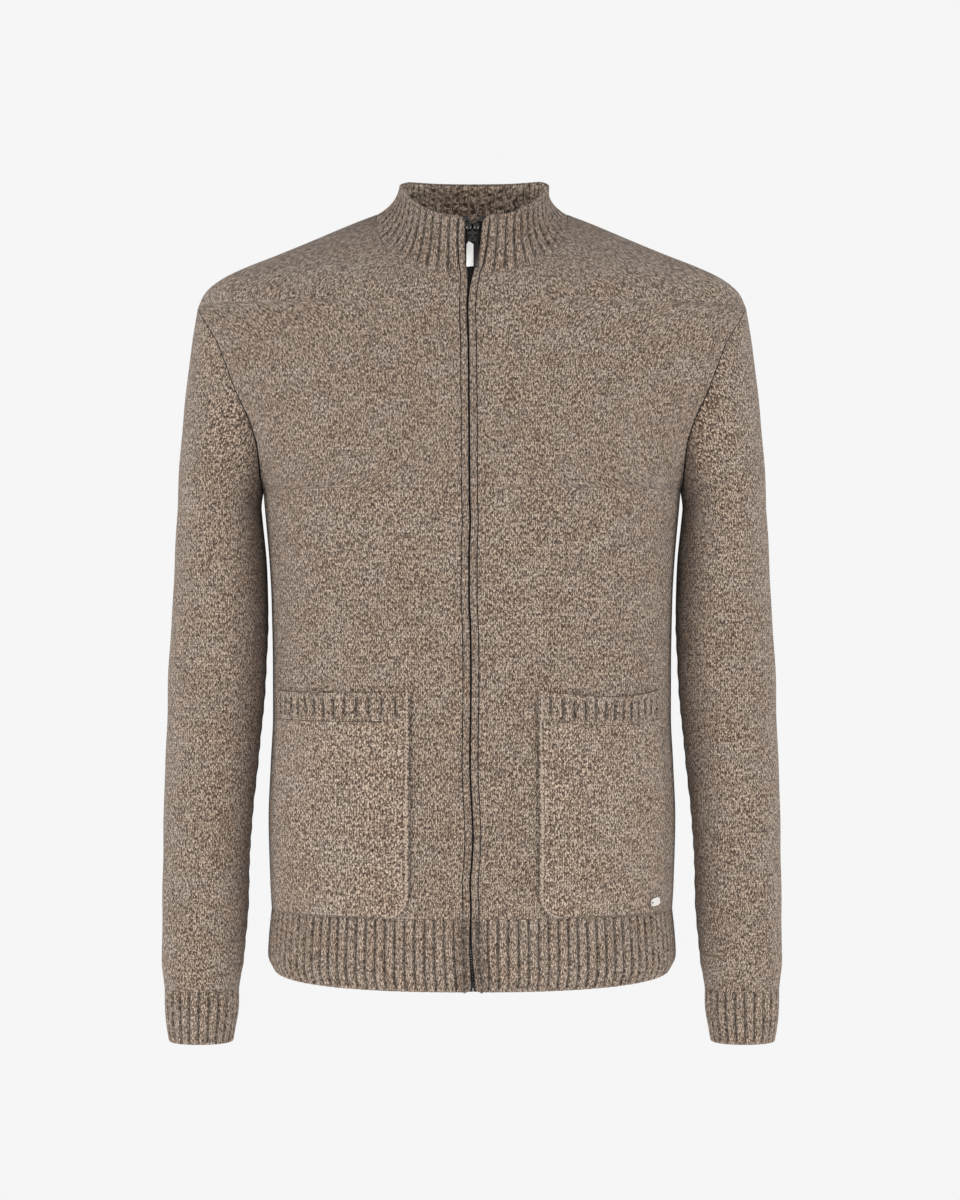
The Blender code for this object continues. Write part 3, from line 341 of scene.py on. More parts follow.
def patch_mesh(name: str, patches: list[Patch]) -> bpy.types.Mesh:
    """Mesh of the joined patches, with stitch coordinates as its UV map.

    Args:
        name: Name of the mesh.
        patches: Grids that may share edge points.

    Returns:
        The mesh, shaded smooth, with a `hollow` value at each point, the mask of its painted shade.
    """
    quads = []
    start = 0
    for patch in patches:
        rows, columns = patch.points.shape[:2]
        index = np.arange(start, start + rows * columns).reshape(rows, columns)
        quads.append(np.stack([index[:-1, :-1], index[:-1, 1:], index[1:, 1:], index[1:, :-1]],
                              axis=-1).reshape(-1, 4))
        start += rows * columns
    corners = np.concatenate(quads)
    points = SWAY.moved(np.concatenate([patch.points.reshape(-1, 3) for patch in patches]))
    stitches = np.concatenate([patch.stitches.reshape(-1, 2) for patch in patches])
    hollow = np.concatenate([patch.hollow.reshape(-1) for patch in patches])
    _, first, index = np.unique(np.round(points, 6), axis=0, return_index=True, return_inverse=True)
    index = index.reshape(-1)
    faces, sources = clean_quads(index[corners], corners)
    mesh = bpy.data.meshes.new(name)
    mesh.from_pydata(points[first].tolist(), [], faces)
    layer = mesh.uv_layers.new(name="stitches")
    layer.data.foreach_set("uv", stitches[sources].astype(np.float32).ravel())
    mark = mesh.attributes.new("hollow", "FLOAT", "POINT")
    mark.data.foreach_set("value", hollow[first].astype(np.float32))
    mesh.shade_smooth()
    return mesh


def add_object(name: str, data: bpy.types.ID) -> Object:
    """A new object in the scene, with its data."""
    thing = bpy.data.objects.new(name, data)
    bpy.context.scene.collection.objects.link(thing)
    return thing


def place(name: str, mesh: bpy.types.Mesh, material: Material,
          nodes: tuple[str, ...] = (), body: str = GARMENT) -> Object:
    """Add a finished piece to the scene.

    Args:
        name: Name of the piece.
        mesh: Its mesh, in the frame's own coordinates.
        material: Its finish.
        nodes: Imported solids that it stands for.
        body: Body that it moves with.

    Returns:
        The object.
    """
    mesh.materials.clear()
    mesh.materials.append(material)
    piece = add_object(name, mesh)
    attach(piece, body)
    if nodes:
        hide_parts(*nodes)
    log.info("%s: %d faces", name, len(mesh.polygons))
    return piece


@dataclass(frozen=True)
class Cut:
    """The flat cut of a piece of cloth and how it is held."""

    width: float
    length: float
    share: float = 1.0
    held: Held = Held.HUNG


def cloth_piece(name: str, patches: list[Patch], wall: float, material: Material,
                nodes: tuple[str, ...], inside: Material | None = None) -> Object:
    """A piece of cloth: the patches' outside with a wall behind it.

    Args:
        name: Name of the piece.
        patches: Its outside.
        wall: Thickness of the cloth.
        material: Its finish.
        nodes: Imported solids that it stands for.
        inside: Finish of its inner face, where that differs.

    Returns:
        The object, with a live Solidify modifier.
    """
    piece = place(name, patch_mesh(name, patches), material, nodes)
    thick = piece.modifiers.new("wall", "SOLIDIFY")
    thick.thickness = wall
    thick.offset = -1
    if inside:
        piece.data.materials.append(inside)
        thick.material_offset = 1
    return piece


# ------------------------------ the knit


@dataclass(frozen=True)
class Gauge:
    """Size of a stitch and the rolled edges of a knitted piece."""

    wale: float = 0.0031
    course: float = 0.00227
    wall: float = 0.0022
    rib_wall: float = 0.0026
    roll: float = 0.0011
    seam_roll: float = 0.0006
    rib_wales: int = 3


@dataclass(frozen=True)
class RibShape:
    """Cross-section of a rib: a wide round crest and a narrow groove."""

    depth: float = 0.0017
    groove: float = 0.13
    crown: float = 0.12
    edge_roll: float = 1.3
    offsets: tuple[float, ...] = (0.0, 0.06, 0.12, 0.19, 0.28, 0.40, 0.50, 0.60, 0.72, 0.81, 0.88, 0.94)

    def shares(self, ribs: int) -> Array:
        """Shares along a row of ribs that starts and ends in a groove."""
        steps = (np.arange(ribs)[:, None] + np.array(self.offsets)) / ribs
        return np.append(steps.ravel(), 1.0)

    def hollow(self, shares: Array, ribs: int) -> Array:
        """How deep in a groove each share lies, from 0 to 1."""
        place_in_rib = (shares * ribs) % 1
        away = np.minimum(place_in_rib, 1 - place_in_rib)
        return np.exp(-((away / self.groove) ** 2))

    def sink(self, shares: Array, ribs: int) -> Array:
        """Depth of the cloth under the crests' line."""
        crown = self.crown * (1 - np.sin(math.pi * ((shares * ribs) % 1)))
        return self.depth * np.clip(self.hollow(shares, ribs) + crown, 0, 1)

    def levels(self, height: float, rows: int, roll: float) -> Array:
        """Shares up a band, closer together inside its seam and its rolled edge."""
        return np.concatenate([[0.0], GAUGE.seam_roll / height * np.array([0.3, 1.0]),
                               np.linspace(0, 1, rows + 1)[1:-1],
                               1 - roll / height * np.array([1.0, 0.5, 0.15, 0.0])])

    def pressed(self, points: Array, normals: Array, ribs: int, seam: Array, edge: Array, fade: Array,
                courses: Array, lift: Values = 0.0) -> Patch:
        """Press ribs into the grid of a band.

        Args:
            points: Grid on the band's smooth outside.
            normals: Its outward normals.
            ribs: Ribs across it.
            seam: Depth of its seam under each row.
            edge: Depth of its rolled edge under each row.
            fade: Share of the ribs' depth at each row.
            courses: Course number of each row.
            lift: Unevenness, outwards.

        Returns:
            The finished patch.
        """
        shares = self.shares(ribs)
        sunk = np.maximum(seam, edge) + self.sink(shares, ribs) * fade
        # The grooves and the seam mark `hollow`, where the finish paints shade.
        hollow = np.maximum(seam / GAUGE.seam_roll, self.hollow(shares, ribs) * fade)
        stitches = pairs(shares * ribs * GAUGE.rib_wales + 0.5, courses)
        return Patch(points + normals * (lift - sunk)[..., None], stitches, hollow)


GAUGE = Gauge()
RIB = RibShape()


# ------------------------------ trunk


@dataclass(frozen=True)
class Trunk:
    """The surface of the body, from the hem seam up to the shoulders.

    Attributes:
        squareness: Power of the level sections.
        side_curve: Height and half width under the arms.
        shoulder_curve: Height and half width over the shoulder tips.
        depths: Height, front depth and back depth.
        edge_x: Height and distance of the armhole's edge from the middle.
    """

    squareness: float = 2.4
    hem_z: float = -0.6080
    underarm_z: float = -0.2450
    tip_z: float = -0.0840
    armhole_depth: float = 0.0580
    armhole_squareness: float = 2.2
    side_curve: Curve = Curve(((-0.6080, 0.1748), (-0.5860, 0.1762), (-0.5300, 0.1774), (-0.4810, 0.1758),
                               (-0.4390, 0.1737), (-0.3970, 0.1738), (-0.3420, 0.1750),
                               (-0.3100, 0.1768), (-0.2610, 0.1808), (-0.2450, 0.1822)))
    shoulder_curve: Curve = Curve(((-0.0840, 0.2392), (-0.0735, 0.2345), (-0.0665, 0.2282),
                                   (-0.0595, 0.2182), (-0.0525, 0.2040), (-0.0385, 0.1700),
                                   (-0.0245, 0.1370), (-0.0105, 0.1040), (-0.0025, 0.0835)))
    depths: Table = ((-0.6080, 0.1210, 0.1150), (-0.5500, 0.1210, 0.1150), (-0.4500, 0.1180, 0.1120),
                     (-0.3500, 0.1190, 0.1140), (-0.2600, 0.1210, 0.1180), (-0.2000, 0.1180, 0.1170),
                     (-0.1500, 0.1100, 0.1120), (-0.1100, 0.0990, 0.1020), (-0.0840, 0.0890, 0.0920),
                     (-0.0610, 0.0770, 0.0820), (-0.0385, 0.0570, 0.0690), (-0.0245, 0.0420, 0.0600),
                     (-0.0105, 0.0260, 0.0470), (-0.0020, 0.0120, 0.0340))
    edge_x: Curve = Curve(((-0.2450, 0.1822), (-0.2090, 0.1845), (-0.1840, 0.1915), (-0.1620, 0.2018),
                           (-0.1340, 0.2125), (-0.1180, 0.2190), (-0.1070, 0.2255),
                           (-0.0930, 0.2345), (-0.0840, 0.2392)))

    @cached_property
    def front_depth(self) -> Curve:
        """Distance of the front from the middle."""
        return Curve(self.depths, 1)

    @cached_property
    def back_depth(self) -> Curve:
        """Distance of the back from the middle."""
        return Curve(self.depths, 2)

    @property
    def armhole_middle(self) -> float:
        """Height of the armhole's middle."""
        return (self.tip_z + self.underarm_z) / 2

    @property
    def armhole_reach(self) -> float:
        """Half the armhole's height."""
        return (self.tip_z - self.underarm_z) / 2

    def armhole_half_depth(self, z: Array) -> Array:
        """How far the armhole opens forwards and back at a height."""
        rise = np.minimum(1, np.abs((z - self.armhole_middle) / self.armhole_reach))
        power = self.armhole_squareness
        return self.armhole_depth * (1 - rise ** power) ** (1 / power)

    def half_width(self, z: Array) -> Array:
        """Half width of a level section, run on past the armhole's edge.

        Args:
            z: Heights.

        Returns:
            Half the width at each.
        """
        z = np.asarray(z, dtype=float)
        share = self.armhole_half_depth(z) / self.front_depth(z)
        reach = (1 - np.minimum(share, 0.99) ** self.squareness) ** (1 / self.squareness)
        lower = np.where(z <= self.underarm_z, self.side_curve(z), self.edge_x(z) / reach)
        return np.where(z >= self.tip_z, self.shoulder_curve(z), lower)

    def point(self, angle: Array, z: Array) -> Array:
        """Point of the surface: the angle runs from centre front by the left to centre back.

        Args:
            angle: Angles.
            z: Heights.

        Returns:
            The points.
        """
        power = 2 / self.squareness
        cosine = np.cos(angle)
        depth = np.where(cosine > 0, self.front_depth(z), self.back_depth(z))
        return stack(self.half_width(z) * signed_power(np.sin(angle), power),
                     -depth * signed_power(cosine, power), z)

    def angle_at(self, x: Array, z: Array) -> Array:
        """Angle, in front, at which a level section is x wide."""
        return np.arcsin(np.minimum(1, (x / self.half_width(z)) ** (self.squareness / 2)))

    def side_angle(self, z: Array) -> Array:
        """Angle of a front's outer edge: side seam, armhole or shoulder seam."""
        z = np.asarray(z, dtype=float)
        inside = (z > self.underarm_z + 1e-9) & (z < self.tip_z - 1e-9)
        return np.where(inside, self.angle_at(self.edge_x(z), z), HALF_PI)

    def armhole_heights(self, steps: int) -> Array:
        """Heights up the armhole, closer together at its two ends."""
        turns = np.linspace(math.pi, 0, steps + 1)
        return self.armhole_middle + self.armhole_reach * signed_power(
            np.cos(turns), 2 / self.armhole_squareness)

    def courses(self, z: Array) -> Array:
        """Course number at each height, counted along the surface from the hem seam."""
        fine = np.linspace(self.hem_z, 0.0, 400)
        steps = np.hypot(np.diff(fine), np.diff(self.front_depth(fine)))
        return np.interp(z, fine, np.concatenate([[0.0], np.cumsum(steps)])) / GAUGE.course


@dataclass(frozen=True)
class Neck:
    """The neck seam on the body."""

    half_width: float = 0.0835
    point_z: float = -0.0025
    front_drop: float = 0.0585
    back_drop: float = 0.0225
    squareness: float = 2.4

    def place(self, degrees: Array, drop: float) -> tuple[Array, Array]:
        """Width and height of the seam, from the middle, 0, to the neck point, 90.

        Args:
            degrees: Steps along the seam.
            drop: Depth of the neckline in its middle.

        Returns:
            The widths and the heights.
        """
        turn = np.radians(degrees)
        power = 2 / self.squareness
        return (self.half_width * np.sin(turn) ** power,
                self.point_z - drop * np.cos(turn) ** power)

    def front_z(self, x: float) -> float:
        """Height of the front seam at a distance from the middle."""
        share = (x / self.half_width) ** self.squareness
        return self.point_z - self.front_drop * (1 - share) ** (1 / self.squareness)


@dataclass(frozen=True)
class ZipEdge:
    """The two front edges: the gap between them and the band along each."""

    gaps: Table = ((-0.6695, 0.0018), (-0.6350, 0.0012), (-0.6080, 0.0006), (-0.0900, 0.0007),
                   (-0.0760, 0.0010), (-0.0600, 0.0022))
    zip_gaps: Table = ((-0.6695, 0.0006), (-0.0480, 0.0006), (-0.0330, 0.0020), (-0.0110, 0.0070))
    collar_base_gap: float = 0.0022
    collar_top_gap: float = 0.0070
    band_width: float = 0.0060
    seam: float = 0.0003

    def half_gap(self, z: Array, of_zip: bool = False) -> Array:
        """Half the gap between the two edges, or between the two zip tapes, at a height."""
        rows = np.array(self.zip_gaps if of_zip else self.gaps)
        return np.interp(z, rows[:, 0], rows[:, 1])

    def cloth_x(self, z: Array) -> Array:
        """Distance of a front's own edge from the middle, past its band."""
        return self.half_gap(z) + self.band_width + self.seam


TRUNK = Trunk()
NECK = Neck()
EDGE = ZipEdge()


def level_rows(heights: Array, spans: tuple[Array, Array], starts: Array, ends: Array,
               shares: Array, fine: int = 241) -> tuple[Array, Array]:
    """Level rows over the body, evenly spaced along each row.

    Args:
        heights: Height of each row.
        spans: Angles between which the stitches of each row are counted.
        starts: Angle of each row's first point.
        ends: Angle of each row's last point.
        shares: Places along a row, from 0 to 1.
        fine: Points of the line that a row is measured along.

    Returns:
        The points, and the share of the counted row at each.
    """
    points = []
    counted = []
    for z, low, high, start, end in zip(heights, *spans, starts, ends):
        angles = np.linspace(low, high, fine)
        line = TRUNK.point(angles, z)
        lengths = lengths_of(line)
        first, last = np.interp((start, end), angles, lengths) / lengths[-1]
        along = mix(first, last, shares)
        points.append(walk(line, along))
        counted.append(along)
    return np.array(points), np.array(counted)


@dataclass(frozen=True)
class Panels:
    """The back and the two fronts, knitted and closed at the sides and shoulders."""

    columns: int = 62
    back_columns: int = 124
    row_step: float = 0.0045
    armhole_rows: int = 44
    neck_rows: int = 40
    front_wales: float = 74.0
    back_wales: float = 148.0
    waviness: float = 0.0007
    wave: float = 0.085
    neck_turn: float = 0.25
    hem_turn: float = 0.5
    front_cut: Cut = Cut(0.27, 0.63, 0.93)
    back_cut: Cut = Cut(0.53, 0.61, 0.93)
    creases: tuple[Crease, ...] = (
        Crease((0.166, -0.060, -0.250), (-0.55, -0.3, -0.55), 0.040, 0.013, 0.0022),
        Crease((0.172, -0.052, -0.285), (-0.35, -0.3, -0.70), 0.045, 0.011, 0.0016),
        Crease((0.120, -0.105, -0.585), (1.0, 0.3, 0.05), 0.060, 0.009, -0.0016),
        Crease((0.060, -0.118, -0.592), (1.0, 0.1, 0.0), 0.050, 0.008, -0.0010),
    )

    def lower_heights(self) -> Array:
        """Heights from the hem seam up to the underarm."""
        count = round((TRUNK.underarm_z - TRUNK.hem_z) / self.row_step)
        even = np.linspace(TRUNK.hem_z, TRUNK.underarm_z, count + 1)
        near = TRUNK.hem_z + np.array([0.3, 1.0]) * GAUGE.roll
        return np.unique(np.concatenate([even, near]))

    def shaped(self, points: Array, counted: Array, wales: float, edges: tuple[Values, float],
               heights: Array, seed: int) -> Patch:
        """Roll the edges of a grid and lay the soft unevenness and creases on it.

        Args:
            points: Grid on the body's surface.
            counted: Share of the counted row at each point.
            wales: Wales in a counted row.
            edges: How far the first and the last column turn under, from 0 to 1.
            heights: Height of each row.
            seed: Seed of the unevenness.

        Returns:
            The finished patch.
        """
        normals = grid_normals(points)
        along = lengths_of(points, 1)
        beyond = along[:, -1:] - along
        above = np.broadcast_to((heights - TRUNK.hem_z)[:, None], along.shape)
        away = np.minimum(np.minimum(along, beyond), above)
        flat = np.clip((heights - NECK.point_z) / 0.008 + 1.25, 0, 1)[:, None]
        most = mix(1.0, self.neck_turn, flat)
        sunk = np.maximum(tuck(along, GAUGE.seam_roll) * np.minimum(np.reshape(edges[0], (-1, 1)), most),
                          tuck(beyond, GAUGE.seam_roll) * np.minimum(edges[1], most))
        sunk = np.maximum(sunk, self.hem_turn * tuck(above, GAUGE.seam_roll))
        calm = np.clip(away / 0.02, 0, 1)
        mirror = points * np.array([np.sign(points[..., 0].mean()) or 1.0, 1, 1])
        lift = self.waviness * ripple(points, self.wave, seed) * calm
        lift = lift + sum(crease.lift(mirror) for crease in self.creases) * np.clip(away / 0.008, 0, 1)
        moved = points + normals * (lift - sunk)[..., None]
        stitches = pairs(counted * wales, TRUNK.courses(heights)[:, None])
        # The rolled seams mark `hollow`, where the finish paints shade.
        return Patch(moved, stitches, sunk / GAUGE.seam_roll)

    def front(self, side: Side, material: Material) -> Object:
        """One front, from its band to the side seam, armhole and shoulder.

        Args:
            side: Which front.
            material: Its finish.

        Returns:
            The object.
        """
        shares = places_with_rolls(self.columns, 0.25, GAUGE.roll)
        low = np.concatenate([self.lower_heights(), TRUNK.armhole_heights(self.armhole_rows)[1:],
                              np.linspace(TRUNK.tip_z, -0.064, 7)[1:]])
        first = math.degrees(math.asin((EDGE.collar_base_gap + EDGE.band_width + EDGE.seam)
                                       / NECK.half_width) ** (NECK.squareness / 2))
        neck_x, neck_z = NECK.place(np.append(np.linspace(first, 86, self.neck_rows),
                                              [88.0, 89.3, 89.8, 90.0]), NECK.front_drop)
        heights = np.concatenate([low, neck_z])
        bases = TRUNK.angle_at(EDGE.cloth_x(heights), heights)
        starts = np.concatenate([bases[:len(low)], TRUNK.angle_at(neck_x, neck_z)])
        starts = np.maximum(starts, bases)
        ends = TRUNK.side_angle(heights)
        points, counted = level_rows(heights, (bases, ends), starts, ends, shares)
        turned = np.where(heights > low[-1], self.neck_turn, 1.0)
        patch = self.shaped(points, counted, self.front_wales, (turned, 1.0), heights, 11)
        return cloth_piece(f"knit_front_{side.word}", [patch.mirrored(side)], GAUGE.wall, material,
                           (f"front_{side.word}",))

    def back(self, material: Material) -> Object:
        """The back, up to the shoulder seams and the back neck.

        Args:
            material: Its finish.

        Returns:
            The object.
        """
        shares = places_with_rolls(self.back_columns, 0.50, GAUGE.roll)
        top = NECK.place(0.0, NECK.back_drop)[1]
        heights = np.concatenate([self.lower_heights(), TRUNK.armhole_heights(self.armhole_rows)[1:],
                                  np.linspace(TRUNK.tip_z, top, 18)[1:]])
        starts = math.pi - TRUNK.side_angle(heights)
        ends = 2 * math.pi - starts
        points, counted = level_rows(heights, (starts, ends), starts, ends, shares)
        patches = [self.shaped(points, counted - 0.5, self.back_wales, (1.0, 1.0), heights, 23)]
        patches.extend(self.back_shoulders(patches[0], shares))
        return cloth_piece("knit_back", patches, GAUGE.wall, material, ("back",))

    def back_shoulders(self, main: Patch, shares: Array) -> list[Patch]:
        """The two wedges beside the back neck, joined to the top row of the main grid.

        Args:
            main: The grid below.
            shares: Places along its rows.

        Returns:
            The left and the right wedge.
        """
        half = len(shares) // 2
        steps = np.append(np.linspace(0, 86, self.neck_rows)[1:], [88.0, 89.3, 89.8, 90.0])
        neck_x, neck_z = NECK.place(steps, NECK.back_drop)
        starts = np.full_like(neck_z, HALF_PI)
        points, counted = level_rows(neck_z, (starts, 3 * starts), starts,
                                     math.pi - TRUNK.angle_at(neck_x, neck_z),
                                     shares[:half + 1] / shares[half], 481)
        left = self.shaped(points, counted - 0.5, self.back_wales, (1.0, self.neck_turn), neck_z, 23)
        right = Patch((left.points * FLIP)[:, ::-1], (left.stitches * np.array([-1.0, 1.0]))[:, ::-1],
                      left.hollow[:, ::-1])
        both = []
        for kept, wedge in ((slice(None, half + 1), left), (slice(half, None), right)):
            top = Patch(main.points[-1:, kept], main.stitches[-1:, kept], main.hollow[-1:, kept])
            both.append(top.joined(wedge))
        return both


# ------------------------------ sleeves and cuffs


@dataclass(frozen=True)
class Sleeve:
    """A set-in sleeve and its cuff.

    Attributes:
        sections: Height, outer X, inner X, half depth and middle Y of level sections.
        folds: Middle, slope, length, width and depth of each fold and pucker.
    """

    squareness: float = 2.15
    head_z: float = -0.2600
    cuff_z: float = -0.6760
    end_z: float = -0.7215
    seam: float = 0.0003
    spread: float = 0.15
    columns: int = 96
    head_rows: int = 26
    rows: int = 96
    cuff_rows: int = 14
    cuff_ribs: int = 24
    cuff_bulge: float = 0.0012
    waviness: float = 0.0010
    pucker: float = 0.0004
    pucker_step: float = 0.017
    pucker_from: float = 0.11
    seam_dip: float = 0.0010
    cut: Cut = Cut(0.44, 0.62, 0.73)
    cuff_cut: Cut = Cut(0.19, 0.048, 1.0, Held.STRETCHED)
    mark_depth: float = 0.0009
    mark_places: Table = ((0.2325, -0.052, -0.130), (0.2300, -0.055, -0.143), (0.2235, -0.058, -0.153),
                          (0.2170, -0.060, -0.168))
    sections: Table = (
        (-0.7215, 0.2622, 0.2068, 0.0300, -0.0290), (-0.7120, 0.2632, 0.2060, 0.0310, -0.0285),
        (-0.6910, 0.2650, 0.2030, 0.0322, -0.0280), (-0.6760, 0.2662, 0.2020, 0.0335, -0.0270),
        (-0.6500, 0.2690, 0.1980, 0.0385, -0.0250), (-0.6100, 0.2692, 0.1950, 0.0420, -0.0225),
        (-0.5600, 0.2680, 0.1935, 0.0448, -0.0190), (-0.5020, 0.2675, 0.1880, 0.0475, -0.0150),
        (-0.4390, 0.2648, 0.1822, 0.0500, -0.0105), (-0.3970, 0.2640, 0.1790, 0.0522, -0.0070),
        (-0.3550, 0.2620, 0.1778, 0.0550, -0.0040), (-0.3100, 0.2600, 0.1802, 0.0585, -0.0015),
        (-0.2600, 0.2570, 0.1845, 0.0620, 0.0000))
    folds: Table = (
        (0.192, -0.045, -0.402, 0.42, 0.022, 0.0060, 0.0022),
        (0.197, -0.052, -0.425, 0.30, 0.024, 0.0065, 0.0020),
        (0.206, -0.055, -0.388, 0.55, 0.030, 0.0080, -0.0016),
        (0.200, -0.050, -0.450, 0.12, 0.020, 0.0060, 0.0012),
        (0.226, -0.060, -0.470, -0.20, 0.034, 0.0110, 0.0010),
        (0.238, -0.052, -0.345, 0.35, 0.036, 0.0120, 0.0011),
        (0.232, -0.062, -0.560, 0.25, 0.034, 0.0110, 0.0010),
        (0.236, -0.058, -0.640, 0.05, 0.050, 0.0090, -0.0012),
        (0.232, 0.040, -0.420, 0.20, 0.036, 0.0100, 0.0014),
        (0.228, 0.030, -0.520, -0.15, 0.034, 0.0110, 0.0011))

    @cached_property
    def creases(self) -> list[Crease]:
        """The folds and puckers, which run across the sleeve."""
        return [Crease(row[:3], (1.0, 0.0, row[3]), *row[4:]) for row in self.folds]

    @property
    def marks(self) -> list[Crease]:
        """Short ticks of the fashioning, a little way from the armhole seam."""
        return [Crease((x, y, z), (-0.35, 0.0, -1.0), 0.0050, 0.0018, self.mark_depth)
                for x, y, z in self.mark_places]

    def section(self, turn: Array, z: Array) -> Array:
        """Point of a level section: 0 is outside, a quarter turn is in front.

        Args:
            turn: Angles round the sleeve.
            z: Heights.

        Returns:
            The points.
        """
        outer, inner, half_depth, middle_y = (Curve(self.sections, k)(z) for k in range(1, 5))
        power = 2 / self.squareness
        return stack((outer + inner) / 2 + (outer - inner) / 2 * signed_power(np.cos(turn), power),
                     middle_y - half_depth * signed_power(np.sin(turn), power), z)

    def armhole(self, turn: Array) -> Array:
        """Point of the armhole seam: 0 is the shoulder tip, half a turn the underarm."""
        z = TRUNK.armhole_middle + TRUNK.armhole_reach * signed_power(
            np.cos(turn), 2 / TRUNK.armhole_squareness)
        angle = TRUNK.side_angle(z)
        return TRUNK.point(np.where(turn <= math.pi, angle, math.pi - angle), z)

    def head(self, turn: Array, share: Array) -> Array:
        """Point between the armhole seam, share 0, and the first full section, share 1.

        Args:
            turn: Angles round the armhole.
            share: How far down the head.

        Returns:
            The points.
        """
        down = np.cos(turn)
        step = stack(self.seam * (1.5 - down / 2), 0.0 * down, -self.seam * 1.3 * np.maximum(0, down))
        start = self.armhole(turn) + step
        end = self.section(turn, np.full_like(turn, self.head_z))
        reach = np.linalg.norm(end - start, axis=-1, keepdims=True) / 3
        spread = self.spread * (1 + np.sin(turn) ** 2)
        lead = start + unit(stack(spread, 0.0 * spread, -1.0 + 0.0 * spread)) * reach
        tail = end + reach * np.array([0.0, 0.0, 1.0])
        s = 1 - share
        return start * s ** 3 + lead * (3 * s * s * share) + tail * (3 * s * share ** 2) + end * share ** 3

    def wales(self, ring: Array) -> Array:
        """Wales counted from the sleeve's outer line, both ways to the underarm seam."""
        lengths = lengths_of(ring)
        half = len(ring) // 2
        back = lengths - lengths[-1]
        return np.where(np.arange(len(ring)) <= half, lengths, back) / GAUGE.wale

    def build(self, side: Side, material: Material) -> Object:
        """The sleeve, from the armhole seam down to the cuff.

        Args:
            side: Which sleeve.
            material: Its finish.

        Returns:
            The object.
        """
        turns = np.linspace(0, 2 * math.pi, self.columns + 1)
        near = np.array([0.0, 0.0015, 0.005])
        head = np.concatenate([near, np.linspace(0, 1, self.head_rows + 1)[1:-1]])
        rows = [self.head(turns, share) for share in head]
        even = np.linspace(self.head_z, self.cuff_z, self.rows + 1)
        heights = np.concatenate([even[:-1], self.cuff_z + GAUGE.seam_roll * np.array([1.0, 0.3, 0.0])])
        rows += [self.section(turns, np.full_like(turns, z)) for z in heights]
        points = np.array(rows)
        counted = [self.wales(ring) for ring in points[len(head):]]
        counted = np.array([counted[0]] * len(head) + counted)
        drop = lengths_of(points)
        courses = (drop[len(head)][None] - drop) / GAUGE.course
        normals = grid_normals(points, True)
        away = np.minimum(drop, drop[-1:] - drop)
        sunk = tuck(away, GAUGE.seam_roll) * np.where(drop < drop[-1:] - drop, 1.0, 0.5)
        calm = np.clip(away / 0.03, 0, 1)
        ticks = -sum(mark.lift(points) for mark in self.marks)
        lift = self.waviness * ripple(points, 0.07, 5) + sum(crease.lift(points) for crease in self.creases)
        pucker = self.pucker * np.exp(-(((turns - math.pi) / 0.20) ** 2)) * np.sin(
            drop * 2 * math.pi / self.pucker_step + np.sin(drop * 61))
        seam = np.exp(-(((turns - math.pi) / 0.035) ** 2))
        lift = (lift + pucker * (drop > self.pucker_from) - self.seam_dip * seam[None]) * calm - ticks
        moved = points + normals * (lift - sunk)[..., None]
        # The seams, the underarm seam line and the fashioning ticks mark `hollow`, where the finish paints
        # shade.
        hollow = np.maximum(sunk / GAUGE.seam_roll, seam[None] * calm * 0.6)
        hollow = np.maximum(hollow, np.clip(ticks / self.mark_depth, 0, 1))
        patch = Patch(moved, pairs(counted, courses), hollow)
        return cloth_piece(f"knit_sleeve_{side.word}", [patch.mirrored(side)], GAUGE.wall, material,
                           (f"sleeve_{side.word}",))

    def cuff(self, side: Side, material: Material) -> Object:
        """The ribbed cuff.

        Args:
            side: Which cuff.
            material: Its finish.

        Returns:
            The object.
        """
        fine = np.linspace(0, 2 * math.pi, 721)
        shares = RIB.shares(self.cuff_ribs)
        roll = GAUGE.roll * RIB.edge_roll
        height = self.cuff_z - self.end_z
        down = RIB.levels(height, self.cuff_rows, roll)[:, None] * height
        points = np.array([walk(self.section(fine, np.full_like(fine, self.cuff_z - drop)), shares)
                           for drop in down[:, 0]])
        fade = np.clip((height - down) / 0.003, 0.45, 1)
        bulge = self.cuff_bulge * np.sin(math.pi * down / height)
        patch = RIB.pressed(points, grid_normals(points, True), self.cuff_ribs,
                            0.5 * tuck(down, GAUGE.seam_roll), tuck(height - down, roll), fade,
                            (self.cuff_z - down) / GAUGE.course, bulge)
        return cloth_piece(f"rib_cuff_{side.word}", [patch.mirrored(side)], GAUGE.rib_wall, material,
                           (f"cuff_{side.word}",))


# ------------------------------ hem


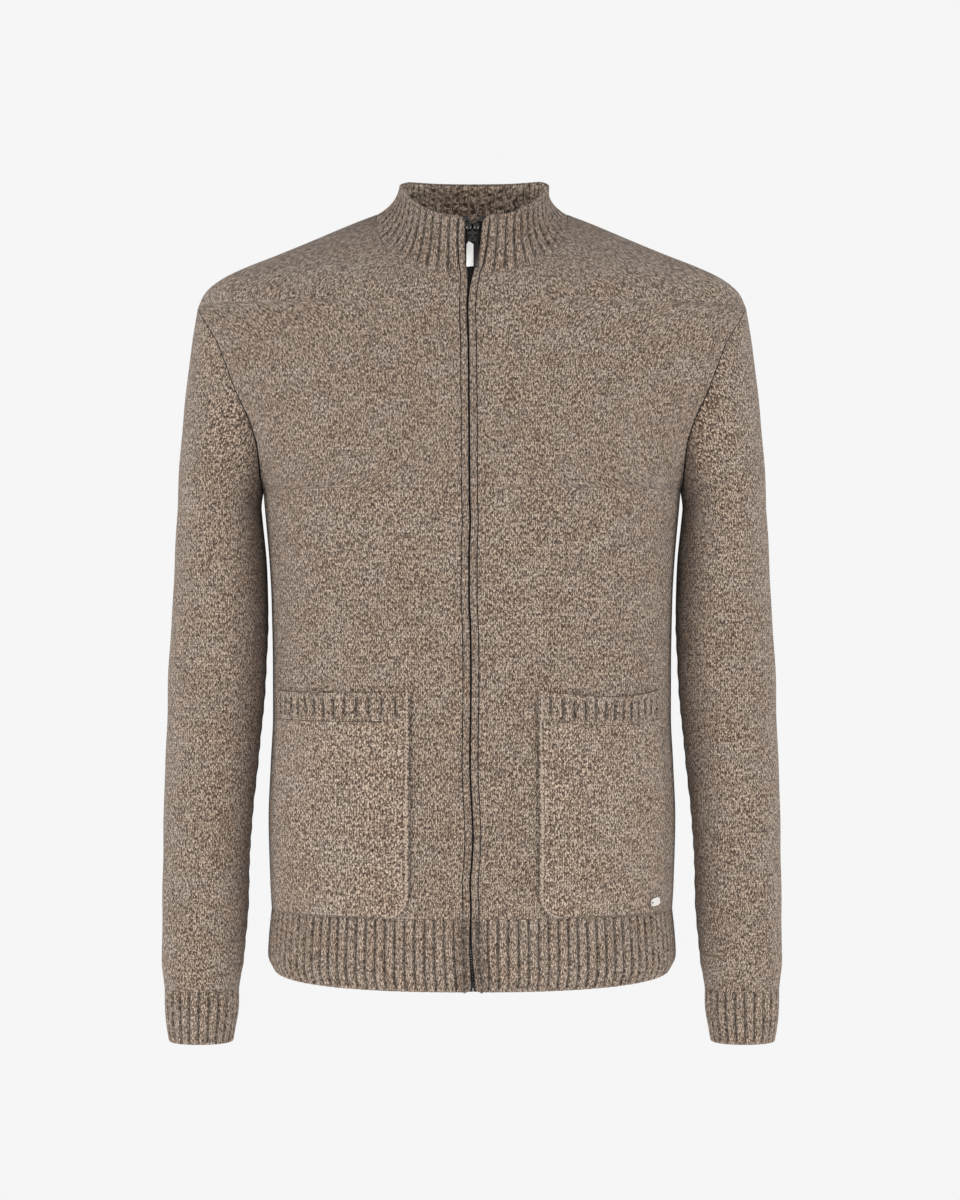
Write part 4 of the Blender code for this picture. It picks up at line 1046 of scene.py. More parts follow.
@dataclass(frozen=True)
class Hem:
    """The ribbed hem.

    Attributes:
        profile: Share of its height, half width, front depth and back depth.
    """

    front_z: float = -0.6695
    side_z: float = -0.6600
    back_z: float = -0.6560
    front_ribs: int = 28
    back_ribs: int = 56
    rows: int = 18
    front_cut: Cut = Cut(0.27, 0.061, 1.0, Held.STRETCHED)
    back_cut: Cut = Cut(0.53, 0.050, 1.0, Held.STRETCHED)
    profile: Table = ((0.00, 0.1748, 0.1210, 0.1150), (0.45, 0.1772, 0.1222, 0.1165),
                      (0.75, 0.1780, 0.1226, 0.1172), (1.00, 0.1722, 0.1208, 0.1150))

    def foot_z(self, angle: Array) -> Array:
        """Height of the hem's edge: low in front, a little higher at the sides and back."""
        forwards = np.cos(angle)
        front = mix(self.side_z, self.front_z, np.maximum(forwards, 0) ** 0.8)
        back = mix(self.side_z, self.back_z, np.maximum(-forwards, 0))
        return np.where(forwards > 0, front, back)

    def point(self, angle: Array, share: Array) -> Array:
        """Point of the rib, from its seam, share 0, to its edge, share 1.

        Args:
            angle: Angles round the body.
            share: How far down the rib.

        Returns:
            The points.
        """
        power = 2 / TRUNK.squareness
        half, front, back = (Curve(self.profile, k)(share) for k in range(1, 4))
        depth = np.where(np.cos(angle) > 0, front, back)
        return stack(half * signed_power(np.sin(angle), power), -depth * signed_power(np.cos(angle), power),
                     mix(TRUNK.hem_z, self.foot_z(angle), share))

    def stretch(self, start: float, end: float, ribs: int, front: bool) -> Patch:
        """A stretch of the rib between two angles.

        Args:
            start: First angle.
            end: Last angle.
            ribs: Ribs between them.
            front: Whether it starts at a front band.

        Returns:
            The patch, foot first.
        """
        fine = np.linspace(start, end, 961)
        shares = RIB.shares(ribs)
        height = TRUNK.hem_z - self.front_z
        roll = GAUGE.roll * RIB.edge_roll
        levels = RIB.levels(height, self.rows, roll)
        rows = []
        for level in levels:
            line = self.point(fine, np.full_like(fine, level))
            if front:
                line[0, 0] = EDGE.cloth_x(line[0, 2])
            rows.append(walk(line, shares))
        points = np.array(rows)
        down = levels[:, None] * height
        fade = np.clip((height - down) / 0.003, 0.45, 1)
        patch = RIB.pressed(points, -grid_normals(points), ribs, 0.5 * tuck(down, GAUGE.seam_roll),
                            tuck(height - down, roll), fade, -down / GAUGE.course)
        return Patch(patch.points[::-1], patch.stitches[::-1], patch.hollow[::-1])

    def build(self, material: Material) -> list[Object]:
        """The back stretch and the two front ones.

        Args:
            material: Their finish.

        Returns:
            The objects.
        """
        start = float(TRUNK.angle_at(EDGE.band_width, TRUNK.hem_z))
        back = self.stretch(HALF_PI, 3 * HALF_PI, self.back_ribs, False)
        pieces = [cloth_piece("rib_hem_back", [back], GAUGE.rib_wall, material,
                              ("hem_rib_back",))]
        front = self.stretch(start, HALF_PI, self.front_ribs, True)
        for side in Side:
            pieces.append(cloth_piece(f"rib_hem_{side.word}", [front.mirrored(side)], GAUGE.rib_wall,
                                      material, (f"hem_rib_{side.word}",)))
        return pieces


# ------------------------------ collar and front bands


@dataclass(frozen=True)
class Collar:
    """The ribbed mock neck."""

    half_width: float = 0.0655
    lean: float = 0.0022
    front_y: float = -0.0740
    back_y: float = 0.0580
    rim: Table = ((-0.0740, -0.0110), (-0.0717, -0.0102), (-0.0681, -0.0082), (-0.0622, -0.0037),
                  (-0.0536, 0.0018), (-0.0423, 0.0087), (-0.0258, 0.0173), (-0.0080, 0.0224),
                  (0.0098, 0.0262), (0.0277, 0.0295), (0.0580, 0.0310))
    squareness: float = 2.2
    flare: float = 2.5
    ribs: int = 52
    rows: int = 20
    corner: float = 0.0085
    corner_drop: float = 0.0048
    edge_roll: float = 1.4
    waviness: float = 0.0007
    cut: Cut = Cut(0.45, 0.048, 1.0, Held.STRETCHED)

    def top_at(self, x: Array, back: Array | bool = False) -> Array:
        """Point of the top edge, at a distance from its own middle line.

        Args:
            x: Distances.
            back: Whether each lies in the back half.

        Returns:
            The points.
        """
        middle = (self.front_y + self.back_y) / 2
        reach = (self.back_y - self.front_y) / 2
        share = np.minimum(1, np.abs(x) / self.half_width)
        depth = reach * (1 - share ** self.squareness) ** (1 / self.squareness)
        y = middle + np.where(back, depth, -depth)
        return stack(x, y, Curve(self.rim)(y))

    def top(self) -> Array:
        """The top edge from the left front round the back to the right front."""
        edge = EDGE.collar_top_gap + EDGE.band_width + EDGE.seam
        first = math.asin((edge / self.half_width) ** (self.squareness / 2))
        turns = np.linspace(first, 2 * math.pi - first, 721)
        x = self.half_width * signed_power(np.sin(turns), 2 / self.squareness)
        return self.top_at(x, np.cos(turns) < 0)

    def base(self) -> Array:
        """The neck seam in the same order."""
        first = EDGE.collar_base_gap + EDGE.band_width + EDGE.seam
        start = math.degrees(math.asin((first / NECK.half_width) ** (NECK.squareness / 2)))
        front_x, front_z = NECK.place(np.linspace(start, 89.9, 120), NECK.front_drop)
        back_x, back_z = NECK.place(np.linspace(89.9, 0, 120), NECK.back_drop)
        half = np.concatenate([TRUNK.point(TRUNK.angle_at(front_x, front_z), front_z),
                               TRUNK.point(math.pi - TRUNK.angle_at(back_x, back_z), back_z)])
        half[-1, 0] = 0.0
        return np.concatenate([half, half[:-1][::-1] * FLIP])

    def between(self, base: Array, top: Array, level: float) -> Array:
        """The collar leaves the shoulders with a flare, stands up and leans to the left."""
        across = 1 - (1 - level) ** self.flare
        return stack(mix(base[..., 0], top[..., 0], across) + self.lean * level ** 2,
                     mix(base[..., 1], top[..., 1], across), mix(base[..., 2], top[..., 2], level))

    def corner_cut(self, inset: Array) -> Array:
        """How far the top edge falls away, at a distance from the front edge."""
        return self.corner_drop * np.clip(1 - inset / self.corner, 0, 1) ** 2

    def build(self, material: Material, inside: Material) -> Object:
        """The whole collar, one ribbed band.

        Args:
            material: Finish of the outside.
            inside: Finish of the inside: a lighter copy of the rib, with less painted shade and with painted
                light standing in for the light bounced inside the collar.

        Returns:
            The object.
        """
        shares = RIB.shares(self.ribs)
        bases = walk(self.base(), shares)
        tops = walk(self.top(), shares)
        lengths = lengths_of(tops)
        inset = np.minimum(lengths, lengths[-1] - lengths) + EDGE.band_width
        height = self.cut.length
        roll = GAUGE.roll * self.edge_roll
        levels = RIB.levels(height, self.rows, roll)
        points = np.array([self.between(bases, tops, level) for level in levels])
        points[..., 2] -= self.corner_cut(inset)[None] * (levels ** 3)[:, None]
        up = levels[:, None] * height
        fade = np.clip((height - up) / 0.004, 0.35, 1) * np.clip(up / 0.006, 0.35, 1)
        patch = RIB.pressed(points, grid_normals(points), self.ribs, 0.25 * tuck(up, GAUGE.seam_roll),
                            tuck(height - up, roll), fade, up / GAUGE.course,
                            self.waviness * ripple(points, 0.05, 31))
        return cloth_piece("rib_collar", [patch], GAUGE.rib_wall, material,
                           ("collar",), inside)


HEM = Hem()
COLLAR = Collar()


@dataclass(frozen=True)
class FrontEdge:
    """Lines up a front edge, from the hem's edge to the collar's top."""

    step: float = 0.0050
    hem_steps: int = 12
    collar_steps: int = 14

    def line(self, low: float, high: float, side: Side, from_z: float = -1.0,
             of_zip: bool = False) -> Array:
        """Points of the garment's outside up the edge.

        Args:
            low: Inset from the middle gap, below the collar.
            high: Inset at the collar's top.
            side: Which front.
            from_z: Lowest height kept.
            of_zip: Whether the line follows the closed zip, not the cloth's own edge.

        Returns:
            Points of the line on the left side; the collar's lean is set for the side.
        """
        shares = np.linspace(1, 0, self.hem_steps + 1)[:-1]
        x = low + EDGE.half_gap(mix(TRUNK.hem_z, HEM.front_z, shares), of_zip)
        half = Curve(HEM.profile, 1)(shares)
        rows = [HEM.point(np.arcsin((np.maximum(x, 1e-6) / half) ** (TRUNK.squareness / 2)), shares)]
        base_x = low + EDGE.collar_base_gap
        base_z = NECK.front_z(max(base_x, 1e-6))
        count = round((base_z - TRUNK.hem_z) / self.step)
        z = np.linspace(TRUNK.hem_z, base_z - 0.002, count)
        x = np.maximum(low + EDGE.half_gap(z, of_zip), 1e-6)
        rows.append(TRUNK.point(TRUNK.angle_at(x, z), z))
        base = TRUNK.point(TRUNK.angle_at(max(base_x, 1e-6), base_z), base_z)
        top = COLLAR.top_at(high + EDGE.collar_top_gap)
        for level in np.linspace(0, 1, self.collar_steps + 1):
            point = COLLAR.between(base, top, level)
            if of_zip:
                point[0] = mix(low, high, level) + EDGE.half_gap(point[2], True) + COLLAR.lean * level ** 2
            if side is Side.RIGHT:
                point[0] -= 2 * COLLAR.lean * level ** 2
            rows.append(point[None])
        line = np.concatenate(rows)
        return line[line[:, 2] >= from_z]


@dataclass(frozen=True)
class Band:
    """The rolled edge that stands proud along the zip."""

    insets: tuple[float, ...] = (0.0, 0.0003, 0.0010, 0.0020, 0.0030, 0.0040, 0.0050, 0.0057, 0.0060)
    rises: tuple[float, ...] = (-0.0014, -0.0004, 0.0005, 0.0010, 0.0011, 0.0009, 0.0003, -0.0006, -0.0014)
    wales: float = 2.0
    waver: float = 0.0004
    foot_lift: float = 0.0022
    foot_height: float = 0.006
    cut: Cut = Cut(0.011, 0.66)

    def build(self, side: Side, material: Material) -> Object:
        """One band, from the hem's edge to the collar's rounded corner.

        Args:
            side: Which band.
            material: Its finish.

        Returns:
            The object.
        """
        edge = FrontEdge()
        points = np.stack([edge.line(inset, inset, side) for inset in self.insets], axis=1)
        levels = np.zeros(len(points))
        levels[-edge.collar_steps - 1:] = np.linspace(0, 1, edge.collar_steps + 1)
        insets = np.array(self.insets)
        points[..., 2] -= COLLAR.corner_cut(insets)[None] * (levels ** 3)[:, None]
        foot = np.clip(1 - (points[:, :1, 2] - HEM.front_z) / self.foot_height, 0, 1) ** 2
        points[..., 2] += self.foot_lift * foot * (1 - insets / EDGE.band_width)[None] ** 2
        lengths = lengths_of(points[:, 4])
        normals = grid_normals(points)
        end = np.minimum(lengths, lengths[-1] - lengths)
        sunk = tuck(end, GAUGE.roll * RIB.edge_roll)
        waver = self.waver * ripple(points, 0.03, 17 + side.value)
        moved = points + normals * (np.array(self.rises)[None] + waver - sunk[:, None])[..., None]
        moved[..., 0] += 0.3 * self.waver * ripple(points[:, :1], 0.05, 3 + side.value)
        # The band's sunken edges mark `hollow`, where the finish paints shade.
        hollow = 0.7 * np.clip(np.array(self.rises) / self.rises[0], 0, 1)[None] * np.ones((len(points), 1))
        stitches = pairs(insets[None] / EDGE.band_width * self.wales, lengths[:, None] / GAUGE.course)
        return cloth_piece(f"edge_band_{side.word}", [Patch(moved, stitches, hollow).mirrored(side)],
                           GAUGE.rib_wall, material, (f"front_band_{side.word}",))


# ------------------------------ small pieces along lines


class Nodes:
    """Short ways to add and feed nodes in one tree."""

    def __init__(self, tree: Tree) -> None:
        """Work on a tree."""
        self.tree = tree

    def feed(self, node: Node, feeds: dict[str | int, object]) -> None:
        """Link or set some of a node's inputs.

        Args:
            node: The node.
            feeds: For each input, an output or a node to link to it, or its constant.
        """
        for key, value in feeds.items():
            if isinstance(value, Node):
                value = value.outputs[0]
            if isinstance(value, Socket):
                self.tree.links.new(value, node.inputs[key])
            else:
                node.inputs[key].default_value = value

    def add(self, kind: str, feeds: dict[str | int, object] | None = None,
            **values: object) -> Node:
        """Add a node.

        Args:
            kind: Its type.
            feeds: What its inputs get, as feed takes it.
            **values: Its properties, set first.

        Returns:
            The node.
        """
        node = self.tree.nodes.new(kind)
        for key, value in values.items():
            setattr(node, key, value)
        self.feed(node, feeds or {})
        return node

    def math(self, operation: str, *terms: object, clamp: bool = False) -> Socket:
        """Result of one Math node."""
        feeds = dict(enumerate(terms))
        return self.add("ShaderNodeMath", feeds, operation=operation, use_clamp=clamp).outputs[0]

    def ramp(self, value: object, low: float, high: float, start: float = 0.0,
             end: float = 1.0) -> Socket:
        """Value brought from one range to another, clamped."""
        feeds = dict(enumerate((value, low, high, start, end)))
        return self.add("ShaderNodeMapRange", feeds, clamp=True).outputs[0]

    def blend(self, factor: object, a: object, b: object, kind: str = "MIX") -> Socket:
        """Mix of two colours."""
        feeds = {0: factor, 6: a, 7: b}
        return self.add("ShaderNodeMix", feeds, data_type="RGBA", blend_type=kind).outputs[2]

    def noise(self, vector: object, scale: float, detail: float = 2.0, roughness: float = 0.5) -> Socket:
        """Value of a Noise texture."""
        feeds = {"Vector": vector, "Scale": scale, "Detail": detail, "Roughness": roughness}
        return self.add("ShaderNodeTexNoise", feeds).outputs[0]

    def stretched(self, vector: object, scale: Triple) -> Socket:
        """A vector scaled along each axis."""
        return self.add("ShaderNodeMapping", {"Vector": vector, "Scale": scale}).outputs[0]

    def bump(self, height: object, distance: float, strength: float = 1.0) -> Socket:
        """Normal of a Bump node."""
        feeds = {"Height": height, "Distance": distance, "Strength": strength}
        return self.add("ShaderNodeBump", feeds).outputs[0]


def group(name: str, kind: str, inputs: dict[str, tuple[str, object]],
          outputs: dict[str, str]) -> tuple[Nodes, bpy.types.NodeOutputs, Node]:
    """An empty node group.

    Args:
        name: Name of the group.
        kind: Shader or geometry tree.
        inputs: Socket type, without its common start, and starting value for each input.
        outputs: Socket type for each output.

    Returns:
        The tree's nodes, the sockets of its inputs and its output node.
    """
    tree = bpy.data.node_groups.new(name, kind)
    for key, (word, value) in inputs.items():
        socket = tree.interface.new_socket(name=key, in_out="INPUT", socket_type="NodeSocket" + word)
        if value is not None:
            socket.default_value = value
    for key, word in outputs.items():
        tree.interface.new_socket(name=key, in_out="OUTPUT", socket_type="NodeSocket" + word)
    return Nodes(tree), tree.nodes.new("NodeGroupInput").outputs, tree.nodes.new("NodeGroupOutput")


def run_tree() -> Tree:
    """Geometry Nodes: copies of a small piece at even steps along lines that carry an `out` vector.

    Returns:
        The tree, whose named inputs are set for each run.
    """
    n, given, sink = group(
        "pieces_along_lines", "GeometryNodeTree",
        {"Lines": ("Geometry", None), "Piece": ("Object", None), "Material": ("Material", None),
         "Spacing": ("Float", 0.003), "Turn": ("Float", 0.0), "Jitter": ("Float", 0.1),
         "Seed": ("Int", 1)}, {"Pieces": "Geometry"})
    curve = n.add("GeometryNodeMeshToCurve", {"Mesh": given["Lines"]})
    even = n.add("GeometryNodeResampleCurve", {"Curve": curve, "Length": given["Spacing"]}, mode="LENGTH")
    points = n.add("GeometryNodeCurveToPoints", {"Curve": even}, mode="EVALUATED").outputs
    out = n.add("GeometryNodeInputNamedAttribute", {"Name": "out"}, data_type="FLOAT_VECTOR")
    align = "FunctionNodeAlignRotationToVector"
    upright = n.add(align, {"Vector": out.outputs["Attribute"]}, axis="Z")
    along = n.add(align, {"Rotation": upright, "Vector": points["Tangent"]}, axis="Y", pivot_axis="Z")
    turn = n.add("ShaderNodeCombineXYZ", {"Z": given["Turn"]})
    euler = n.add("FunctionNodeEulerToRotation", {0: turn})
    slanted = n.add("FunctionNodeRotateRotation", {0: along, 1: euler}, rotation_space="LOCAL")
    chance = n.add("FunctionNodeRandomValue", {"Seed": given["Seed"]}, data_type="FLOAT_VECTOR")
    spread = n.add("ShaderNodeVectorMath", {0: chance, 1: given["Jitter"], 2: (1.0, 1.0, 1.0)},
                   operation="MULTIPLY_ADD")
    model = n.add("GeometryNodeObjectInfo", {"Object": given["Piece"]})
    copies = n.add("GeometryNodeInstanceOnPoints", {
        "Points": points["Points"], "Instance": model.outputs["Geometry"], "Rotation": slanted,
        "Scale": spread})
    real = n.add("GeometryNodeRealizeInstances", {0: copies})
    dressed = n.add("GeometryNodeSetMaterial", {"Geometry": real, "Material": given["Material"]})
    n.feed(sink, {"Pieces": dressed})
    return n.tree


@dataclass(frozen=True)
class SurfaceLine:
    """A line on a surface, with the outward normal at each point."""

    points: Array
    out: Array

    def moved(self, depth: float) -> "SurfaceLine":
        """The line moved along its normals, inwards where the depth is positive."""
        return SurfaceLine(self.points - self.out * depth, self.out)

    def cut(self, low: float, high: float) -> "SurfaceLine":
        """The part of the line between two heights."""
        kept = (self.points[:, 2] >= low) & (self.points[:, 2] <= high)
        return SurfaceLine(self.points[kept], self.out[kept])

    def mirrored(self) -> "SurfaceLine":
        """The line on the other side of the body."""
        return SurfaceLine(self.points * FLIP, self.out * FLIP)

    def joined(self, other: "SurfaceLine") -> "SurfaceLine":
        """The line carried on by another."""
        return SurfaceLine(np.concatenate([self.points, other.points]),
                           np.concatenate([self.out, other.out]))


def solid_mesh(name: str, shape: bmesh.types.BMesh) -> bpy.types.Mesh:
    """Mesh of a bmesh, smooth between shallow edges, with the bmesh used up.

    Args:
        name: Name of the mesh.
        shape: The bmesh.

    Returns:
        The mesh.
    """
    mesh = bpy.data.meshes.new(name)
    shape.to_mesh(mesh)
    shape.free()
    mesh.shade_smooth()
    mesh.set_sharp_from_angle(angle=math.radians(40))
    return mesh


@dataclass(frozen=True)
class Bead:
    """A small rounded piece: across, along and out of the surface.

    Attributes:
        size: Its three lengths.
        square: Whether it is a block with broken edges, or an egg shape.
    """

    size: Triple
    square: bool = False

    def mesh(self, name: str) -> bpy.types.Mesh:
        """The piece's mesh, about its own middle."""
        shape = bmesh.new()
        if self.square:
            bmesh.ops.create_cube(shape, size=1.0)
            bmesh.ops.scale(shape, vec=self.size, verts=shape.verts)
            bmesh.ops.bevel(shape, geom=list(shape.edges), offset=min(self.size) * 0.22, segments=1,
                            affect="EDGES")
        else:
            bmesh.ops.create_uvsphere(shape, u_segments=8, v_segments=6, radius=0.5)
            bmesh.ops.rotate(shape, verts=shape.verts, cent=(0, 0, 0),
                             matrix=Matrix.Rotation(HALF_PI, 3, "X"))
            bmesh.ops.scale(shape, vec=self.size, verts=shape.verts)
        return solid_mesh(name, shape)


@dataclass(frozen=True)
class Run:
    """Small pieces at even steps along lines."""

    name: str
    bead: Bead
    spacing: float
    turn: float = 0.0
    jitter: float = 0.0
    seed: int = 1

    def mesh(self, tree: Tree, lines: list[SurfaceLine], material: Material) -> bpy.types.Mesh:
        """Run the tree over the lines.

        Args:
            tree: The tree of run_tree.
            lines: Lines to follow.
            material: Finish of the pieces.

        Returns:
            One plain mesh of all the pieces.
        """
        host_mesh = bpy.data.meshes.new(self.name + "_lines")
        edges = []
        start = 0
        for line in lines:
            edges.extend((k, k + 1) for k in range(start, start + len(line.points) - 1))
            start += len(line.points)
        points = SWAY.moved(np.concatenate([line.points for line in lines]))
        host_mesh.from_pydata(points.tolist(), edges, [])
        out = host_mesh.attributes.new("out", "FLOAT_VECTOR", "POINT")
        ways = np.concatenate([line.out for line in lines]).astype(np.float32)
        out.data.foreach_set("vector", ways.ravel())
        host = add_object(self.name + "_lines", host_mesh)
        model = add_object(self.name + "_model", self.bead.mesh(self.name + "_model"))
        modifier = host.modifiers.new("pieces", "NODES")
        modifier.node_group = tree
        values = {"Piece": model, "Material": material, "Spacing": self.spacing, "Turn": self.turn,
                  "Jitter": self.jitter, "Seed": self.seed}
        for socket in tree.interface.items_tree:
            if socket.in_out == "INPUT" and socket.name in values:
                modifier[socket.identifier] = values[socket.name]
        graph = bpy.context.evaluated_depsgraph_get()
        mesh = bpy.data.meshes.new_from_object(host.evaluated_get(graph), depsgraph=graph)
        host.modifiers.remove(modifier)
        for thing in (host, model):
            bpy.data.objects.remove(thing, do_unlink=True)
        mesh.shade_smooth()
        mesh.set_sharp_from_angle(angle=math.radians(50))
        return mesh


# ------------------------------ pockets


@dataclass(frozen=True)
class Pocket:
    """A patch pocket with a ribbed mouth, laid over a front."""

    side: Side
    inner_x: float
    outer_x: float
    mouth_z: float
    sag: float
    gape: float
    gape_at: float
    foot_z: float = -0.6066
    lift: float = 0.0007
    rib_height: float = 0.0240
    ribs: int = 14
    corner: float = 0.0180
    wales: float = 36.0
    columns: int = 34
    rows: int = 52
    cut: Cut = Cut(0.125, 0.168, 0.98)
    rib_cut: Cut = Cut(0.125, 0.026, 1.0, Held.STRETCHED)
    mouth_roll: float = 1.2
    edge_roll: float = 1.4
    slant: float = 1.1
    rib_depth: float = 0.75
    swell: float = 0.0007
    waviness: float = 0.0008
    stitch: Bead = Bead((0.0015, 0.0026, 0.0012))
    stitch_step: float = 0.0032
    stitch_inset: float = 0.0016

    def share_at(self, x: float, z: float) -> float:
        """Share of the front, between its band and its side seam, that lies at x."""
        start = TRUNK.angle_at(EDGE.cloth_x(z), z)
        return float((TRUNK.angle_at(x, z) - start) / (HALF_PI - start))

    def surface(self, place_in_front: Array, z: Array) -> Array:
        """Point of the front at a share of it and a height."""
        start = TRUNK.angle_at(EDGE.cloth_x(z), z)
        return TRUNK.point(mix(start, HALF_PI, place_in_front), z)

    def mouth(self, share: Array) -> Array:
        """Height of the mouth's edge along it."""
        return self.mouth_z - self.sag * np.sin(math.pi * share)

    def stand_off(self, share: Array, down: Array) -> Array:
        """How far the mouth gapes off the front, less and less below it."""
        bell = np.exp(-(((share - self.gape_at) / 0.22) ** 2))
        return self.gape * bell * np.sin(math.pi * np.clip(share, 0, 1)) * (1 - down) ** 2

    def rib(self, material: Material) -> SurfaceLine:
        """Build the ribbed band at the mouth.

        Args:
            material: Its finish.

        Returns:
            The line up the band's inner edge, for its stitches.
        """
        shares = RIB.shares(self.ribs)
        inner = self.share_at(self.inner_x, self.foot_z)
        outer = self.share_at(self.outer_x, self.foot_z)
        roll = GAUGE.roll * self.mouth_roll
        levels = np.concatenate([[0.0], roll / self.rib_height * np.array([0.15, 0.5, 1.0]),
                                 np.linspace(0, 1, 9)[1:-1],
                                 1 - GAUGE.roll / self.rib_height * np.array([1.0, 0.3, 0.0])])
        level = levels[:, None]
        z = self.mouth(shares)[None] - self.rib_height * level
        places = np.broadcast_to(mix(inner, outer, shares)[None], z.shape)
        points = self.surface(places, z)
        normals = -grid_normals(points)
        down = level * self.rib_height
        length = (self.outer_x - self.inner_x) * self.slant
        away_side = np.minimum(shares, 1 - shares)[None] * length
        sunk = np.maximum(np.maximum(tuck(down, roll), 0.1 * tuck(self.rib_height - down, GAUGE.roll)),
                          tuck(away_side, GAUGE.roll * 1.5))
        fade = np.clip((down - 0.002) / 0.003, 0, 1) * np.clip(away_side / 0.002, 0, 1)
        fade = fade * np.clip((self.rib_height - down) / 0.006, 0.15, 1)
        ribs = self.rib_depth * RIB.sink(shares, self.ribs)[None] * fade
        lift = self.lift + GAUGE.rib_wall + self.stand_off(shares[None], level)
        moved = points + normals * (lift - sunk - ribs)[..., None]
        # The grooves and the side edges mark `hollow`, where the finish paints shade.
        hollow = np.maximum(RIB.hollow(shares, self.ribs)[None] * fade,
                            np.clip(1 - away_side / (0.6 * GAUGE.roll), 0, 1))
        stitches = pairs(shares[None] * self.ribs * GAUGE.rib_wales + 0.5, -down / GAUGE.course)
        patch = Patch(moved[::-1], stitches[::-1], hollow[::-1])
        word = self.side.word
        cloth_piece(f"rib_pocket_{word}", [patch.mirrored(self.side)], GAUGE.wall, material,
                    (f"pocket_rib_{word}",))
        inside = shares * length < self.stitch_inset
        edge = int(np.count_nonzero(inside))
        return SurfaceLine(moved[::-1, edge][:-2], normals[::-1, edge][:-2])

    def grid(self, shares: Array, climbs: Array, degrees: Array) -> tuple[Array, Array, Array]:
        """Points of the front under the plain patch.

        Args:
            shares: Places across the patch, from its inner edge to its outer one.
            climbs: Places up its straight part, from 0 to 1.
            degrees: Steps round its lower inner corner, from 90 to 0.

        Returns:
            The points, their heights, and their shares across the whole patch.
        """
        turns = np.radians(degrees)
        heights = np.concatenate([self.foot_z + self.corner * (1 - np.sin(turns)),
                                  np.full(len(climbs), self.foot_z + self.corner)])
        starts = np.concatenate([self.inner_x + self.corner * (1 - np.cos(turns)),
                                 np.full(len(climbs), self.inner_x)])
        climb = np.concatenate([np.zeros(len(turns)), climbs])
        outer = self.share_at(self.outer_x, self.foot_z)
        inner = self.share_at(self.inner_x, self.foot_z)
        first = np.array([self.share_at(x, self.foot_z) for x in starts])
        places = mix(first[:, None], outer, shares[None])
        whole = (places - inner) / (outer - inner)
        top = self.mouth(whole) - self.rib_height - EDGE.seam
        z = mix(heights[:, None], top, climb[:, None])
        return self.surface(places, z), z, whole

    def patch(self, material: Material) -> SurfaceLine:
        """Build the plain part, its lower inner corner rounded.

        Args:
            material: Its finish.

        Returns:
            The line up the patch's inner edge, for its stitches.
        """
        roll = GAUGE.roll * self.edge_roll
        shares = places_with_rolls(self.columns, self.outer_x - self.inner_x, roll)
        height = self.mouth_z - self.rib_height - self.foot_z
        straight = np.linspace(0, 1, self.rows + 1)[1:-1]
        climbs = np.concatenate([straight, 1 - GAUGE.roll / height * np.array([1.0, 0.3, 0.0])])
        degrees = np.concatenate([[90, 88, 82], np.linspace(74, 0, 14)])
        points, z, whole = self.grid(shares, climbs, degrees)
        normals = grid_normals(points)
        along = lengths_of(points, 1)
        corner_x = self.inner_x + self.corner - points[..., 0]
        corner_z = self.foot_z + self.corner - z
        round_away = self.corner - np.hypot(np.maximum(corner_x, 0), np.maximum(corner_z, 0))
        away = np.minimum(np.minimum(along[:, -1:] - along, z - self.foot_z), points[..., 0] - self.inner_x)
        away = np.where((corner_x > 0) & (corner_z > 0), np.minimum(away, round_away), away)
        away = np.maximum(away, 0)
        away[0] = 0
        away[:, 0] = 0
        top_away = self.mouth(whole) - self.rib_height - EDGE.seam - z
        sunk = np.maximum(tuck(away, roll), 0.1 * tuck(top_away, GAUGE.roll))
        calm = np.clip(away / 0.01, 0, 1)
        down = (self.mouth_z - z) / (self.mouth_z - self.foot_z)
        lift = self.lift + GAUGE.wall + self.stand_off(whole, down) * 0.5
        lift = lift + calm * (self.swell + self.waviness * ripple(points, 0.055, 41 + self.side.value))
        moved = points + normals * (lift - sunk)[..., None]
        # The rolled edges mark `hollow`, where the finish paints shade.
        hollow = np.clip(1 - away / (0.45 * roll), 0, 1)
        stitches = pairs(whole * self.wales, (z - self.foot_z) / GAUGE.course)
        word = self.side.word
        cloth_piece(f"knit_pocket_{word}", [Patch(moved, stitches, hollow).mirrored(self.side)],
                    GAUGE.wall, material, (f"pocket_{word}",))
        return SurfaceLine(moved[:, 2], normals[:, 2])

    def edge_stitches(self, line: SurfaceLine, tree: Tree, material: Material) -> Object:
        """The chain of pale stitches up the inner edge.

        Args:
            line: The edge, from the foot to the mouth.
            tree: The tree of run_tree.
            material: Finish of the thread.

        Returns:
            The object.
        """
        line = line.moved(self.stitch.size[2] * -0.05)
        line = line if self.side is Side.LEFT else line.mirrored()
        run = Run(f"pocket_stitches_{self.side.word}", self.stitch, self.stitch_step, 0.3, 0.35, 7)
        return place(run.name, run.mesh(tree, [line], material), material)


POCKETS = (
    Pocket(Side.RIGHT, 0.0518, 0.1665, -0.4170, 0.0010, 0.0022, 0.58),
    Pocket(Side.LEFT, 0.0560, 0.1610, -0.4160, 0.0055, 0.0010, 0.45),
)


# ------------------------------ zip


def cad_copy(node: str) -> bmesh.types.BMesh:
    """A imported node's mesh with its loose triangles joined into clean faces.

    Args:
        node: Name of the node.

    Returns:
        The bmesh.
    """
    shape = bmesh.new()
    shape.from_mesh(bpy.data.objects[node].data)
    bmesh.ops.remove_doubles(shape, verts=shape.verts, dist=1e-6)
    bmesh.ops.dissolve_limit(shape, angle_limit=math.radians(1), verts=shape.verts, edges=shape.edges)
    return shape


def soften(piece: Object, width: float) -> None:
    """Round a hard piece's edges with a live Bevel modifier.

    Args:
        piece: The piece.
        width: Width of the rounding.
    """
    bevel = piece.modifiers.new("rounded", "BEVEL")
    bevel.width = width
    bevel.segments = 3
    bevel.limit_method = "ANGLE"
    bevel.angle_limit = math.radians(25)


